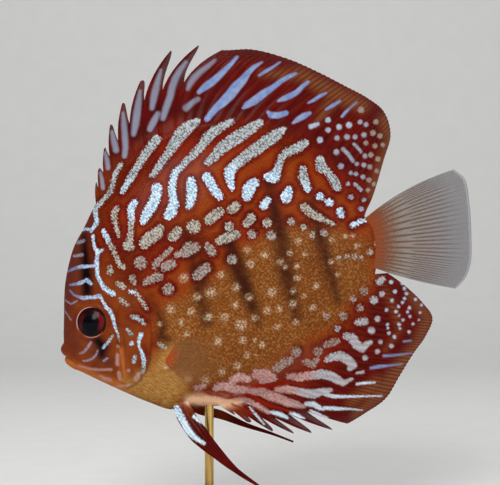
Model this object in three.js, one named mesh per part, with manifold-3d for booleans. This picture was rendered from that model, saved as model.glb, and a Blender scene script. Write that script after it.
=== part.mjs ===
// A life-size discus fish, held nose down on a small display stand.
// Units are millimetres and +Z is up. The head points along -X, and the fish's left side faces -Y.
// The fish is modelled about the middle of its flank, and one group then lifts it onto its rod.

import * as THREE from 'three';
import { mergeVertices } from 'three/addons/utils/BufferGeometryUtils.js';
import Module from 'manifold-3d';

const wasm = await Module();
wasm.setup();

// Driving dimensions.
const GAP = 0.3;                    // clearance between touching pieces
const FLANK_HALF_WIDTH = 12;        // half of the body's thickness at mid flank
const HEAD_SWELL = 0.035;           // how much fuller the body grows for each millimetre towards the snout
const TAIL_TAPER = 0.055;           // how much slimmer it grows for each millimetre towards the tail
const HEAD_KEEL = 1.0;              // cross-section exponent: 1 is an ellipse
const BODY_KEEL = 1.25;             // above 1 the back and belly draw in to a keel
const TAIL_SWING = 3;               // how far the tail's tip swings towards +Y
const SWING_FROM = 10;              // the swing starts this far behind mid flank
const TAIL_TIP_X = 90;              // the caudal fin's hind edge
const FIN_ROOT_DEPTH = 2.6;         // how deep a fin's root reaches before the body trims it
const MEMBRANE = 0.55;              // thickness of a fin's membrane
const FIN_FOOT = 2.6;               // thickness of the fleshy foot of the dorsal and anal fins
const RAY_RIDGE = 0.2;              // how far a ray stands out of its membrane on each side

// The body's outline without its fins, as x, z pairs, clockwise from the snout over the back.
const BODY_OUTLINE = [
  [-56.9, -28.4], [-56.9, -18.4], [-56.4, -6.4], [-53.4, 6.3], [-50.0, 12.8], [-44.6, 23.4], [-36.7, 33.1],
  [-25.9, 42.5], [-11.5, 49.0], [4.7, 50.4], [20.9, 46.1], [33.5, 37.8], [44.3, 27.0], [50.0, 18.8],
  [54.6, 14.6], [56.2, 7.9], [55.8, 0.6], [53.6, -8.5], [49.7, -16.9], [40.7, -28.8], [28.1, -39.6],
  [13.7, -47.5], [1.1, -50.4], [-12.6, -51.1], [-18.6, -51.9], [-27.0, -49.1], [-38.0, -44.4],
  [-49.0, -39.2], [-53.6, -36.7], [-56.3, -33.4],
];
const RIM_STEPS = 72;
const FLANK_STEPS = 16;

// Rays of the median fins: x, z of the root, x, z of the tip, and the bow towards the front as a share of length.
const DORSAL_RAYS = [
  [-45.0, 23.4, -45.4, 29.5, 0.05], [-43.6, 25.6, -44.6, 34.2, 0.05], [-41.0, 28.8, -42.5, 41.8, 0.07],
  [-37.4, 32.0, -40.3, 50.4, 0.085], [-33.8, 35.3, -35.9, 58.3, 0.10], [-30.2, 38.9, -29.4, 66.2, 0.11],
  [-25.9, 42.1, -18.5, 77.2, 0.14], [-20.5, 45.4, -8.5, 79.1, 0.17], [-14.0, 48.2, 0.0, 77.4, 0.20],
  [-6.1, 50.4, 10.8, 77.6, 0.12], [3.6, 50.8, 23.8, 74.2, 0.06], [13.7, 49.0, 34.6, 69.5, 0.05],
  [23.4, 45.0, 44.6, 64.4, 0.04], [32.0, 38.9, 52.6, 60.1, 0.03], [39.2, 32.4, 58.3, 55.4, 0.03],
  [44.6, 26.3, 60.8, 47.2, 0.02], [48.2, 21.2, 58.3, 37.8, 0.0], [50.0, 18.4, 54.0, 23.8, 0.0],
  [51.1, 16.9, 51.8, 19.4, 0.0],
];
const DORSAL_SPINES = 8;
const DORSAL_SOFT_RAYS = 31;
const ANAL_RAYS = [
  [0.0, -51.1, 4.0, -53.6, 0.0], [1.8, -50.8, 9.0, -56.5, 0.0], [4.0, -50.4, 17.9, -59.9, -0.02],
  [6.8, -49.7, 25.6, -60.7, -0.03], [10.1, -49.0, 32.0, -60.5, -0.04], [13.7, -47.5, 39.6, -59.4, -0.04],
  [17.6, -45.7, 45.2, -57.2, -0.04], [21.6, -43.6, 51.8, -53.3, -0.03], [28.1, -39.6, 59.0, -48.2, -0.02],
  [34.6, -34.6, 64.1, -40.0, 0.0], [40.7, -28.8, 69.1, -32.0, 0.0], [45.7, -22.7, 73.4, -25.9, 0.0],
  [49.7, -16.6, 76.0, -19.1, 0.0], [52.6, -11.2, 72.4, -13.6, 0.0], [54.4, -6.8, 66.2, -7.6, 0.0],
  [55.6, -3.2, 59.8, -2.9, 0.0],
];
const ANAL_SPINES = 6;
const ANAL_SOFT_RAYS = 30;
const CAUDAL_RAYS = [
  [50.4, 15.0, 83.9, 34.6, 0.06], [50.9, 13.7, 87.8, 31.0, 0.04], [51.5, 11.6, 89.5, 22.0, 0.02],
  [51.8, 8.3, 90.2, 11.5, 0.0], [51.8, 5.0, 90.0, 1.1, 0.0], [51.8, 2.0, 88.2, -4.4, 0.0],
  [51.8, 0.4, 84.4, -8.6, -0.03],
];
const CAUDAL_RAY_COUNT = 16;
const PECTORAL_RAY_COUNT = 12;
const PELVIC_RAY_COUNT = 5;

// The head's hind edge, from the nape down behind the gill cover to the throat, as x, z pairs.
const HEAD_EDGE = [[-49.5, 27.0], [-45.2, 21.0], [-39.6, 10.8], [-32.4, -1.8], [-27.0, -12.6], [-24.5, -25.2],
  [-26.0, -35.0], [-30.6, -42.5], [-36.0, -50.0]];
const GILL_COVER_EDGE = [[-35.2, -11.6], [-30.2, -11.4], [-27.2, -16.4], [-26.0, -25.0], [-27.2, -33.6],
  [-31.0, -40.0], [-34.4, -41.4], [-36.4, -37.0], [-37.0, -27.0], [-36.8, -18.0]];
const GILL_COVER_THICKNESS = 1.6;
const GILL_COVER_RISE = 0.45;
const TAIL_CUT_X = 45.5;

const EYE = { x: -46.0, z: -20.3, radius: 6.8, depth: 4.0, rise: 1.9 };
const PUPIL = { radius: 3.3, x: -46.8, rise: 0.35 };
const NOSTRIL = { x: -54.0, z: -24.2, radius: 0.7, depth: 1.0 };
const MOUTH = { x: -51.2, z: -32.4, halfWidth: 4.1, reach: 4.9, lip: 1.5, gap: 0.5, upperShift: -0.4, lowerShift: 0.8 };
const JAW_EDGE = [[-70, -32.7], [-51.0, -32.7], [-47.0, -36.2], [-43.4, -43.6], [-50, -50], [-70, -45]];

// The stand under the fish.
const BASE = { length: 96, width: 64, height: 8, corner: 14, chamfer: 1.2, x: -15 };
const ROD = { x: -4.6, radius: 1.6, sides: 24 };
const COLLAR = { radius: 4.2, height: 3.2 };
const FISH = { x: -16.02, z: 94.6 };   // where the middle of the flank stands above the base's foot
const BASE_TOP = BASE.height - FISH.z;

/** How fat the body is about mid flank at a distance x along it. */
function fullness(x) {
  return FLANK_HALF_WIDTH + (x < 0 ? -x * HEAD_SWELL : -x * TAIL_TAPER);
}

/** The cross-section's exponent at x: the head is rounder than the keeled back and belly. */
function keel(x) {
  const towardsHead = THREE.MathUtils.smoothstep(-x, 18, 44);
  return THREE.MathUtils.lerp(BODY_KEEL, HEAD_KEEL, towardsHead);
}

/** The midplane's bend: the tail swings gently to one side. */
function swing(x) {
  const reach = Math.max(0, (x - SWING_FROM) / (TAIL_TIP_X - SWING_FROM));
  return TAIL_SWING * reach * reach;
}

/** A closed mesh as a solid, turned right side out if it was made inside out. */
function solid(geometry) {
  const bare = new THREE.BufferGeometry();
  bare.setAttribute('position', geometry.getAttribute('position').clone());
  bare.setIndex(geometry.getIndex());
  const merged = mergeVertices(bare, 1e-4);
  const place = merged.getAttribute('position').array;
  const index = [];
  let volume = 0;
  const corners = [new THREE.Vector3(), new THREE.Vector3(), new THREE.Vector3()];
  for (let i = 0; i < merged.index.count; i += 3) {
    const trio = [0, 1, 2].map((j) => merged.index.getX(i + j));
    if (new Set(trio).size < 3) continue;
    index.push(...trio);
    trio.forEach((v, j) => corners[j].fromArray(place, 3 * v));
    volume += corners[0].dot(corners[1].cross(corners[2]));
  }
  if (volume < 0) index.reverse();
  return new wasm.Manifold(new wasm.Mesh({
    numProp: 3,
    vertProperties: new Float32Array(place),
    triVerts: new Uint32Array(index),
  }));
}

/** The largest closed surface of a solid. */
function largest(shape) {
  return shape.decompose().reduce((best, piece) => (piece.volume() > best.volume() ? piece : best));
}

/** A named mesh of a solid. */
function part(name, shape, material) {
  const made = largest(shape).getMesh();
  const geometry = new THREE.BufferGeometry();
  geometry.setAttribute('position', new THREE.Float32BufferAttribute(made.vertProperties, 3));
  geometry.setIndex(Array.from(made.triVerts));
  geometry.computeVertexNormals();
  const mesh = new THREE.Mesh(geometry, material);
  mesh.name = name;
  return mesh;
}

const outlineCurve = new THREE.CatmullRomCurve3(
  BODY_OUTLINE.map(([x, z]) => new THREE.Vector3(x, 0, z)), true, 'centripetal');
outlineCurve.arcLengthDivisions = 600;

/** The whole body without fins: a ball with its poles on the flanks, drawn out to the outline and grown by a margin. */
function bodyShape(grow = 0) {
  const ball = new THREE.SphereGeometry(1, RIM_STEPS, FLANK_STEPS);
  const position = ball.getAttribute('position');
  const uv = ball.getAttribute('uv');
  for (let i = 0; i < position.count; i += 1) {
    const polar = (1 - uv.getY(i)) * Math.PI;
    const rim = outlineCurve.getPointAt(THREE.MathUtils.euclideanModulo(uv.getX(i), 1));
    const reach = Math.sin(polar) * (1 + grow / rim.length());
    const x = reach * rim.x;
    const z = reach * rim.z;
    const side = Math.cos(polar);
    const y = Math.sign(side) * fullness(x) * Math.abs(side) ** keel(x) + grow * side;
    position.setXYZ(i, x, y + swing(x), z);
  }
  return solid(ball);
}

/** The body's half thickness, without the swing, on its surface at x, z. */
function halfWidthAt(x, z) {
  const aim = Math.atan2(z, x);
  let best = { miss: Infinity, length: 1 };
  for (let step = 0; step < 720; step += 1) {
    const rim = outlineCurve.getPoint(step / 720);
    const miss = Math.abs(THREE.MathUtils.euclideanModulo(Math.atan2(rim.z, rim.x) - aim + Math.PI, 2 * Math.PI) - Math.PI);
    if (miss < best.miss) best = { miss, length: rim.length() };
  }
  const reach = Math.min(1, Math.hypot(x, z) / best.length);
  return fullness(x) * (1 - reach * reach) ** (keel(x) / 2);
}

/** A prism that runs right through the fish, from a closed loop of x, z points. */
function throughPrism(points) {
  const shape = new THREE.Shape(points.map(([x, z]) => new THREE.Vector2(x, z)));
  const prism = new THREE.ExtrudeGeometry(shape, { depth: 80, bevelEnabled: false });
  prism.rotateX(Math.PI / 2);
  prism.translate(0, 40, 0);
  return solid(prism);
}

/** Points of a smooth curve through x, z pairs, moved sideways by a margin. */
function offsetCurve(pairs, closed, count, margin = 0) {
  const curve = new THREE.CatmullRomCurve3(pairs.map(([x, z]) => new THREE.Vector3(x, 0, z)), closed, 'centripetal');
  const steps = closed ? count : count - 1;
  return Array.from({ length: count }, (_, i) => {
    const at = curve.getPointAt(i / steps);
    const along = curve.getTangentAt(i / steps);
    return [at.x + along.z * margin, at.z - along.x * margin];
  });
}

/** A spline table of rays, read at a fractional row and a share t of the ray's length. */
function rayField(rows) {
  const roots = new THREE.CatmullRomCurve3(rows.map(([x, z]) => new THREE.Vector3(x, 0, z)));
  const tips = new THREE.CatmullRomCurve3(rows.map(([, , x, z]) => new THREE.Vector3(x, 0, z)));
  const last = rows.length - 1;
  return (row, t, depth = 0) => {
    const share = THREE.MathUtils.clamp(row / last, 0, 1);
    const root = roots.getPoint(share);
    const tip = tips.getPoint(share);
    const low = Math.min(last - 1, Math.floor(row));
    const bow = THREE.MathUtils.lerp(rows[low][4], rows[low + 1][4], row - low);
    const along = tip.clone().sub(root);
    root.addScaledVector(along, -depth / along.length());
    along.copy(tip).sub(root);
    const side = new THREE.Vector3(-along.z, 0, along.x).multiplyScalar(4 * bow * t * (1 - t));
    return root.addScaledVector(along, t).add(side);
  };
}

/** A thin closed sheet: place(s, t) gives its middle surface and half(s, t) its half thickness. */
function sheet(columns, rows, place, half) {
  const middle = (s, t) => place(THREE.MathUtils.clamp(s, 0, 1), THREE.MathUtils.clamp(t, 0, 1));
  const faces = [[], []];
  const nudge = 1e-3;
  for (let i = 0; i <= columns; i += 1) {
    for (let j = 0; j <= rows; j += 1) {
      const s = i / columns;
      const t = j / rows;
      const across = middle(s + nudge, t).sub(middle(s - nudge, t));
      const along = middle(s, t + nudge).sub(middle(s, t - nudge));
      const normal = across.cross(along).normalize();
      const here = middle(s, t);
      faces[0].push(here.clone().addScaledVector(normal, half(s, t)));
      faces[1].push(here.addScaledVector(normal, -half(s, t)));
    }
  }
  const count = faces[0].length;
  const at = (i, j) => i * (rows + 1) + j;
  const index = [];
  const quad = (a, b, c, d) => index.push(a, b, c, a, c, d);
  for (let i = 0; i < columns; i += 1) {
    for (let j = 0; j < rows; j += 1) {
      const [a, b, c, d] = [at(i, j), at(i + 1, j), at(i + 1, j + 1), at(i, j + 1)];
      quad(a, b, c, d);
      index.push(count + a, count + c, count + b, count + a, count + d, count + c);
    }
  }
  for (let i = 0; i < columns; i += 1) {
    quad(at(i + 1, 0), at(i, 0), count + at(i, 0), count + at(i + 1, 0));
    quad(at(i, rows), at(i + 1, rows), count + at(i + 1, rows), count + at(i, rows));
  }
  for (let j = 0; j < rows; j += 1) {
    quad(at(0, j), at(0, j + 1), count + at(0, j + 1), count + at(0, j));
    quad(at(columns, j + 1), at(columns, j), count + at(columns, j), count + at(columns, j + 1));
  }
  const geometry = new THREE.BufferGeometry();
  const points = [...faces[0], ...faces[1]].flatMap((p) => [p.x, p.y, p.z]);
  geometry.setAttribute('position', new THREE.Float32BufferAttribute(points, 3));
  geometry.setIndex(index);
  return solid(geometry);
}

/** Half thickness of a median fin: a fleshy foot, a thin membrane, and a ridge along each ray. */
function finHalf(t, ridge, foot = FIN_FOOT) {
  const flesh = (foot - MEMBRANE) / 2 * Math.max(0, 1 - t / 0.55) ** 1.5;
  const edge = THREE.MathUtils.smoothstep(1 - t, 0, 0.25);
  return MEMBRANE / 2 + flesh + ridge * RAY_RIDGE * edge;
}

/** One free lobe of a spiny fin: it fills the space to the next spine at the root and runs out to a point at the tip. */
function lobe(rays, row, overlap) {
  const notch = 0.46;
  const place = (s, t) => {
    const width = t < notch ? 1 : (1 - (t - notch) / (1 - notch)) ** 0.75;
    const front = rays(row, t, FIN_ROOT_DEPTH);
    const back = rays(Math.min(row + 1, DORSAL_RAYS.length - 1), t, FIN_ROOT_DEPTH);
    const share = s * (t < notch ? overlap : 1) * width;
    const least = 0.35 * s * (1 - 0.6 * t);
    const at = front.lerp(back, share);
    at.x += least * (1 - width);
    at.y = swing(at.x);
    return at;
  };
  const half = (s, t) => {
    const spine = Math.max(0, 1 - s / 0.3);
    return finHalf(t, 1.4 * spine) * (t > 0.8 ? 1 - 0.5 * (t - 0.8) / 0.2 : 1);
  };
  return sheet(4, 6, place, half);
}

/** The spiny front of a median fin, as lobes fused at their roots. */
function spinyFin(rays, spines) {
  const lobes = Array.from({ length: spines }, (_, i) => lobe(rays, i, i === spines - 1 ? 0.93 : 1.12));
  return wasm.Manifold.union(lobes);
}

/** The soft hind part of a median fin, with a ridge along each ray. */
function softFin(rays, firstRow, lastRow, rayCount, rows) {
  const place = (s, t) => {
    const at = rays(THREE.MathUtils.lerp(firstRow, lastRow, s), t, FIN_ROOT_DEPTH);
    at.y = swing(at.x);
    return at;
  };
  const half = (s, t) => finHalf(t, 0.5 + 0.5 * Math.cos(2 * Math.PI * rayCount * s));
  return sheet(rayCount * 2, rows, place, half);
}

// The body and its cuts.
const body = bodyShape();
const bodyWithGap = bodyShape(GAP);

const headEdge = offsetCurve(HEAD_EDGE, false, 24);
const headEdgeBehind = offsetCurve(HEAD_EDGE, false, 24, -GAP);
const aheadOfHeadEdge = [[-90, -60], [-90, 60], [-60, 60]];
const headPrism = throughPrism([...headEdge, ...aheadOfHeadEdge]);
const headPrismWithGap = throughPrism([...headEdgeBehind, ...aheadOfHeadEdge]);
const tailPrism = throughPrism([[TAIL_CUT_X, -60], [TAIL_CUT_X, 60], [95, 60], [95, -60]]);
const tailPrismWithGap = throughPrism([[TAIL_CUT_X - GAP, -60], [TAIL_CUT_X - GAP, 60], [95, 60], [95, -60]]);

const trunk = body.subtract(headPrismWithGap).subtract(tailPrismWithGap);
const tailStalk = body.intersect(tailPrism);

// The mouth: each lip is a ring, sunk in the head but for its front.
function lipRing(z, shift) {
  const ring = new THREE.TorusGeometry(MOUTH.halfWidth, MOUTH.lip, 8, 24);
  ring.scale(MOUTH.reach / MOUTH.halfWidth, 1, 1);
  ring.translate(MOUTH.x + shift, 0, z);
  return solid(ring);
}

const upperLipZ = MOUTH.z + MOUTH.gap / 2 + MOUTH.lip;
const lowerLipZ = MOUTH.z - MOUTH.gap / 2 - MOUTH.lip;
const jawPrism = throughPrism(JAW_EDGE);
const jawPrismWithGap = throughPrism(JAW_EDGE.map(([x, z], i) => (i < 2 ? [x, z + GAP] : [x + GAP, z + GAP])));

/** An eyeball or its socket on one side of the head. */
function eyeBall(side, grow = 0) {
  const half = halfWidthAt(EYE.x, EYE.z);
  const ball = new THREE.SphereGeometry(1, 18, 12);
  ball.scale(EYE.radius + grow, EYE.depth + grow, EYE.radius + grow);
  ball.translate(EYE.x, side * (half + EYE.rise - EYE.depth), EYE.z);
  return solid(ball);
}

/** The pupil, a low dome raised on the eyeball. */
function pupil(side) {
  const half = halfWidthAt(EYE.x, EYE.z);
  const dome = new THREE.SphereGeometry(1, 14, 6);
  dome.scale(PUPIL.radius, 1, PUPIL.radius);
  dome.translate(PUPIL.x, side * (half + EYE.rise + PUPIL.rise - 1), EYE.z);
  return solid(dome);
}

function nostrilPit(side) {
  const pit = new THREE.CylinderGeometry(NOSTRIL.radius, NOSTRIL.radius * 0.6, NOSTRIL.depth * 2, 10);
  pit.translate(NOSTRIL.x, side * halfWidthAt(NOSTRIL.x, NOSTRIL.z), NOSTRIL.z);
  return solid(pit);
}

const SIDES = [['left', -1], ['right', 1]];
const swollen = bodyShape(GILL_COVER_RISE);
const coverCore = bodyShape(-GILL_COVER_THICKNESS);
const coverBed = bodyShape(-GILL_COVER_THICKNESS - GAP);
const coverPrism = throughPrism(offsetCurve(GILL_COVER_EDGE, true, 26));
const coverPocket = throughPrism(offsetCurve(GILL_COVER_EDGE, true, 26, -GAP));
const leftHalf = solid(new THREE.BoxGeometry(200, 60, 200).translate(0, -30, 0));
const coverShell = swollen.intersect(coverPrism).subtract(coverCore);

const snout = body.intersect(headPrism).subtract(coverPocket.subtract(coverBed));
const sockets = wasm.Manifold.union(SIDES.flatMap(([, side]) => [eyeBall(side, GAP), nostrilPit(side)]));
const head = snout.subtract(jawPrismWithGap).add(lipRing(upperLipZ, MOUTH.upperShift).intersect(throughPrism(
  [[-70, MOUTH.z + MOUTH.gap / 2], [-70, -20], [-40, -20], [-40, MOUTH.z + MOUTH.gap / 2]])))
  .subtract(sockets);
const lowerJaw = snout.intersect(jawPrism).add(lipRing(lowerLipZ, MOUTH.lowerShift).intersect(throughPrism(
  [[-70, MOUTH.z - GAP / 2], [-70, -50], [-52, -50], [-52, MOUTH.z - GAP / 2]])))
  .subtract(head);

// The fins.
const dorsalRay = rayField(DORSAL_RAYS);
const analRay = rayField(ANAL_RAYS);
const caudalRay = rayField(CAUDAL_RAYS);
const dorsalEnd = DORSAL_RAYS.length - 1;
const analEnd = ANAL_RAYS.length - 1;

const dorsalSpiny = spinyFin(dorsalRay, DORSAL_SPINES).subtract(bodyWithGap);
const dorsalSoft = softFin(dorsalRay, DORSAL_SPINES, dorsalEnd, DORSAL_SOFT_RAYS, 5).subtract(bodyWithGap);
const analSpiny = spinyFin(analRay, ANAL_SPINES).subtract(bodyWithGap);
const analSoft = softFin(analRay, ANAL_SPINES, analEnd, ANAL_SOFT_RAYS, 5).subtract(bodyWithGap);

const caudal = sheet(CAUDAL_RAY_COUNT * 2, 5, (s, t) => {
  const at = caudalRay(s * (CAUDAL_RAYS.length - 1), t);
  at.y = swing(at.x);
  return at;
}, (s, t) => finHalf(t, 0.5 + 0.5 * Math.cos(2 * Math.PI * CAUDAL_RAY_COUNT * s), 3.4)).subtract(bodyWithGap);

// The paired fins.
const PECTORAL = {
  x: -19.4, z: -32.0, rootHalf: 3.2, length: 24.5, sink: 1.4,
  topAngle: 14, bottomAngle: -38, spread: { left: 24, right: 34 },
};

/** A pectoral fin: a fan of rays that leans out from the flank, its root sunk in the body. */
function pectoral(side, spreadDegrees) {
  const half = halfWidthAt(PECTORAL.x, PECTORAL.z);
  const spread = THREE.MathUtils.degToRad(spreadDegrees);
  const place = (s, t) => {
    const angle = THREE.MathUtils.degToRad(THREE.MathUtils.lerp(PECTORAL.topAngle, PECTORAL.bottomAngle, s));
    const length = PECTORAL.length * (0.5 + 0.5 * Math.sin(Math.PI * (0.1 + 0.84 * s)) ** 0.7) * t;
    const along = length * Math.cos(angle);
    const root = PECTORAL.rootHalf * (1 - 2 * s);
    const cup = 1.6 * Math.sin(Math.PI * s) * t * t;
    return new THREE.Vector3(
      PECTORAL.x + along * Math.cos(spread) - PECTORAL.sink,
      side * (half - PECTORAL.sink + along * Math.sin(spread) + cup),
      PECTORAL.z + root + length * Math.sin(angle));
  };
  const ridge = (s) => 0.5 + 0.5 * Math.cos(2 * Math.PI * PECTORAL_RAY_COUNT * s);
  return sheet(PECTORAL_RAY_COUNT * 2, 4, place, (s, t) => finHalf(t, ridge(s), 1.8)).subtract(bodyWithGap);
}

// Each pelvic fin follows a line of x, splay, z points, with its half width at each.
const PELVIC = {
  left: [[-14.8, 1.8, -48.8, 2.6], [-13.6, 3.6, -53.2, 3.1], [-9.4, 6.6, -60.1, 2.9], [-3.2, 8.4, -66.6, 2.2],
    [3.6, 9.6, -72.7, 1.0], [11.9, 10.4, -77.8, 0.5], [20.6, 11.0, -82.6, 0.35]],
  right: [[-10.6, 1.8, -48.6, 1.9], [-9.0, 3.4, -51.8, 2.2], [-0.4, 6.6, -54.7, 2.3], [8.6, 8.4, -58.6, 1.4],
    [18.4, 9.6, -62.0, 0.6], [26.0, 10.4, -65.0, 0.35]],
};

/** A pelvic fin: a folded blade whose first rays run out to a filament. */
function pelvic(side, line) {
  const spine = new THREE.CatmullRomCurve3(line.map(([x, y, z]) => new THREE.Vector3(x, side * y, z)));
  const last = line.length - 1;
  const place = (s, t) => {
    const at = spine.getPoint(t);
    const along = spine.getTangent(t);
    const low = Math.min(last - 1, Math.floor(t * last));
    const width = THREE.MathUtils.lerp(line[low][3], line[low + 1][3], t * last - low);
    const across = new THREE.Vector3(-along.z, 0, along.x).normalize();
    return at.addScaledVector(across, width * (2 * s - 1));
  };
  const half = (s, t) => {
    const ridge = 0.5 + 0.5 * Math.cos(2 * Math.PI * PELVIC_RAY_COUNT * s);
    return finHalf(t, ridge * (1 - t), 1.6);
  };
  return sheet(PELVIC_RAY_COUNT * 2, 11, place, half).subtract(bodyWithGap);
}

// The stand.
function baseSlab() {
  const { length, width, corner, chamfer, height } = BASE;
  const x = length / 2 - chamfer;
  const y = width / 2 - chamfer;
  const r = corner - chamfer;
  const outline = new THREE.Shape();
  outline.moveTo(-x + r, -y);
  outline.lineTo(x - r, -y);
  outline.absarc(x - r, -y + r, r, -Math.PI / 2, 0);
  outline.lineTo(x, y - r);
  outline.absarc(x - r, y - r, r, 0, Math.PI / 2);
  outline.lineTo(-x + r, y);
  outline.absarc(-x + r, y - r, r, Math.PI / 2, Math.PI);
  outline.lineTo(-x, -y + r);
  outline.absarc(-x + r, -y + r, r, Math.PI, 1.5 * Math.PI);
  const slab = new THREE.ExtrudeGeometry(outline, {
    depth: height - 2 * chamfer, bevelEnabled: true, bevelThickness: chamfer, bevelSize: chamfer,
    bevelSegments: 1, curveSegments: 4,
  });
  return solid(slab.translate(BASE.x, 0, chamfer));
}

function upright(radius, bottom, top, sides = ROD.sides) {
  const post = new THREE.CylinderGeometry(radius, radius, top - bottom, sides);
  post.rotateX(Math.PI / 2);
  post.translate(ROD.x, 0, (top + bottom) / 2);
  return solid(post);
}

const collarTop = BASE_TOP + GAP + COLLAR.height;
const rod = upright(ROD.radius, collarTop + GAP, -46).subtract(bodyWithGap);
const collar = upright(COLLAR.radius, BASE_TOP + GAP, collarTop);

// Colours, and the assembly.
const flesh = (color, roughness) => new THREE.MeshStandardMaterial({ color, roughness, metalness: 0 });
const flankSkin = flesh(0xa8541c, 0.45);
const faceSkin = flesh(0xb05a20, 0.4);
const coverSkin = flesh(0xb8672a, 0.4);
const finSkin = flesh(0x8c2410, 0.45);
const clearFin = flesh(0xb08a60, 0.35);
const pelvicSkin = flesh(0x7a1510, 0.45);
const eyeGlass = flesh(0x3a0a08, 0.1);
const wood = new THREE.MeshStandardMaterial({ color: 0x2c1a10, roughness: 0.35, metalness: 0 });
const brass = new THREE.MeshStandardMaterial({ color: 0xb08d4f, roughness: 0.3, metalness: 1 });

const fish = new THREE.Group();
fish.position.set(FISH.x, 0, FISH.z);
fish.add(
  part('trunk', trunk, flankSkin),
  part('tail_stalk', tailStalk, flankSkin),
  part('head', head, faceSkin),
  part('lower_jaw', lowerJaw, faceSkin),
  part('dorsal_fin_spiny', dorsalSpiny, finSkin),
  part('dorsal_fin_soft', dorsalSoft, finSkin),
  part('anal_fin_spiny', analSpiny, finSkin),
  part('anal_fin_soft', analSoft, finSkin),
  part('caudal_fin', caudal, clearFin),
  part('stand_rod', rod, brass),
  part('stand_collar', collar, brass),
);
for (const [name, side] of SIDES) {
  const half = side < 0 ? coverShell.intersect(leftHalf) : coverShell.subtract(leftHalf);
  fish.add(
    part(`gill_cover_${name}`, half, coverSkin),
    part(`eye_${name}`, eyeBall(side).add(pupil(side)), eyeGlass),
    part(`pectoral_fin_${name}`, pectoral(side, PECTORAL.spread[name]), clearFin),
    part(`pelvic_fin_${name}`, pelvic(side, PELVIC[name]), pelvicSkin),
  );
}

const model = new THREE.Group();
model.add(fish, part('stand_base', baseSlab(), wood));

export default model;
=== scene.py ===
"""A life-size discus fish, nose down on a small display stand.

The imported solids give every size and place, and this script gives them their looks: one skin over the
whole body, finer fins, eyes and stand, and a finish for each. Lengths in the classes are millimetres in
the fish's own frame, whose origin is the middle of the flank: x runs to the tail, y to the fish's right
side and z upwards. Markings are drawn in pixels of the photograph, seen along +Y, on both flanks alike.
"""

from __future__ import annotations

import sys
import logging
import math
from collections.abc import Callable, Sequence
from dataclasses import dataclass
from enum import Enum
from typing import ClassVar

import bpy
import numpy as np
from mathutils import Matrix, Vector


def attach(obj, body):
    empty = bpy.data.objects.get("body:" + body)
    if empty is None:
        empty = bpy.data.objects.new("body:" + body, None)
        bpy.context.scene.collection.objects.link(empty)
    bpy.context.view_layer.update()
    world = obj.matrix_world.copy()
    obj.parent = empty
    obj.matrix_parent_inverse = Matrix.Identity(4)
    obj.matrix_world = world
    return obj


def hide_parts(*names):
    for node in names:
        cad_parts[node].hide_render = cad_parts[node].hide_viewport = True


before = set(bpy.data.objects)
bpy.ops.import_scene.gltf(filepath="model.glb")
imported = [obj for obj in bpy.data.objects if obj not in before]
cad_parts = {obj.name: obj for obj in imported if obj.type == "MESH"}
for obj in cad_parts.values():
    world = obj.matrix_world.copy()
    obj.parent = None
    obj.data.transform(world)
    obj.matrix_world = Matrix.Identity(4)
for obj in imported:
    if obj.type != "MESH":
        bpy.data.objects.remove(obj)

LOG = logging.getLogger("discus")
Array = np.ndarray
Line = tuple[tuple[float, ...], ...]
Span = tuple[float, float]
Sheet = tuple[Array, Array, Array]  # middle surface, half thickness, direction in which it is laid off
Piece = bpy.types.Object

BODY = "root"
METRE = 1000.0  # millimetres
TINY = 1e-9  # keeps divisions from failing
FAR = 11.0  # pixels beyond which a marking's distance no longer matters
TINT_REACH = 1.6  # pixels over which the tints of two markings run into each other
FIN_FROM, FIN_TO = -1.5, 9.0  # millimetres beyond the body's rim between which skin turns into fin
GHOST_FROM, GHOST_TO = 0.35, 1.35  # shares of a faint spot's radius between which it fades out
TINTS = ("icy", "pearly", "blue", "smoky", "rosy", "fade")
FIN_FIELDS = ("ray", "reach", "clear")


def smooth(value: Array, low: float, high: float) -> Array:
    """Rises smoothly from 0 at low to 1 at high."""
    share = np.clip((value - low) / (high - low), 0.0, 1.0)
    return share * share * (3 - 2 * share)


def smooth_max(first: Array, second: Array, width: Array | float) -> Array:
    """The larger of two values, rounded where they meet."""
    return 0.5 * (first + second + np.sqrt((first - second) ** 2 + width * width))


def hump(value: Array, middle: float, width: float) -> Array:
    """A smooth hump, 1 high at its middle."""
    return np.exp(-(((value - middle) / width) ** 2))


def crests(count: float, s: Array) -> Array:
    """Evenly spaced rays across a fin: 1 along a ray, 0 between two."""
    return 0.5 + 0.5 * np.cos(2 * math.pi * count * s)


def spline(knots: Array, at: Array, closed: bool = False) -> Array:
    """Reads a smooth curve that runs through all its knots.

    Args:
        knots: The points that the curve runs through.
        at: Where to read it, as fractional knot numbers.
        closed: Whether the last knot leads back to the first.

    Returns:
        One point for each number in at.
    """
    count = len(knots)
    if closed:
        index = np.floor(at).astype(int)
        picks = [knots[(index + shift) % count] for shift in (-1, 0, 1, 2)]
    else:
        padded = np.vstack([2 * knots[0] - knots[1], knots, 2 * knots[-1] - knots[-2]])
        index = np.clip(np.floor(at).astype(int), 0, count - 2)
        picks = [padded[index + shift] for shift in range(4)]
    share = (at - index)[:, None]
    steps = [np.sqrt(np.linalg.norm(b - a, axis=1))[:, None] + TINY for a, b in zip(picks, picks[1:])]
    before, start, end, after = picks
    leave = steps[1] * (
        (start - before) / steps[0] - (end - before) / (steps[0] + steps[1]) + (end - start) / steps[1]
    )
    arrive = steps[1] * (
        (end - start) / steps[1] - (after - start) / (steps[1] + steps[2]) + (after - end) / steps[2]
    )
    square = -3 * start + 3 * end - 2 * leave - arrive
    cube = 2 * start - 2 * end + leave + arrive
    return start + leave * share + square * share**2 + cube * share**3


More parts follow.
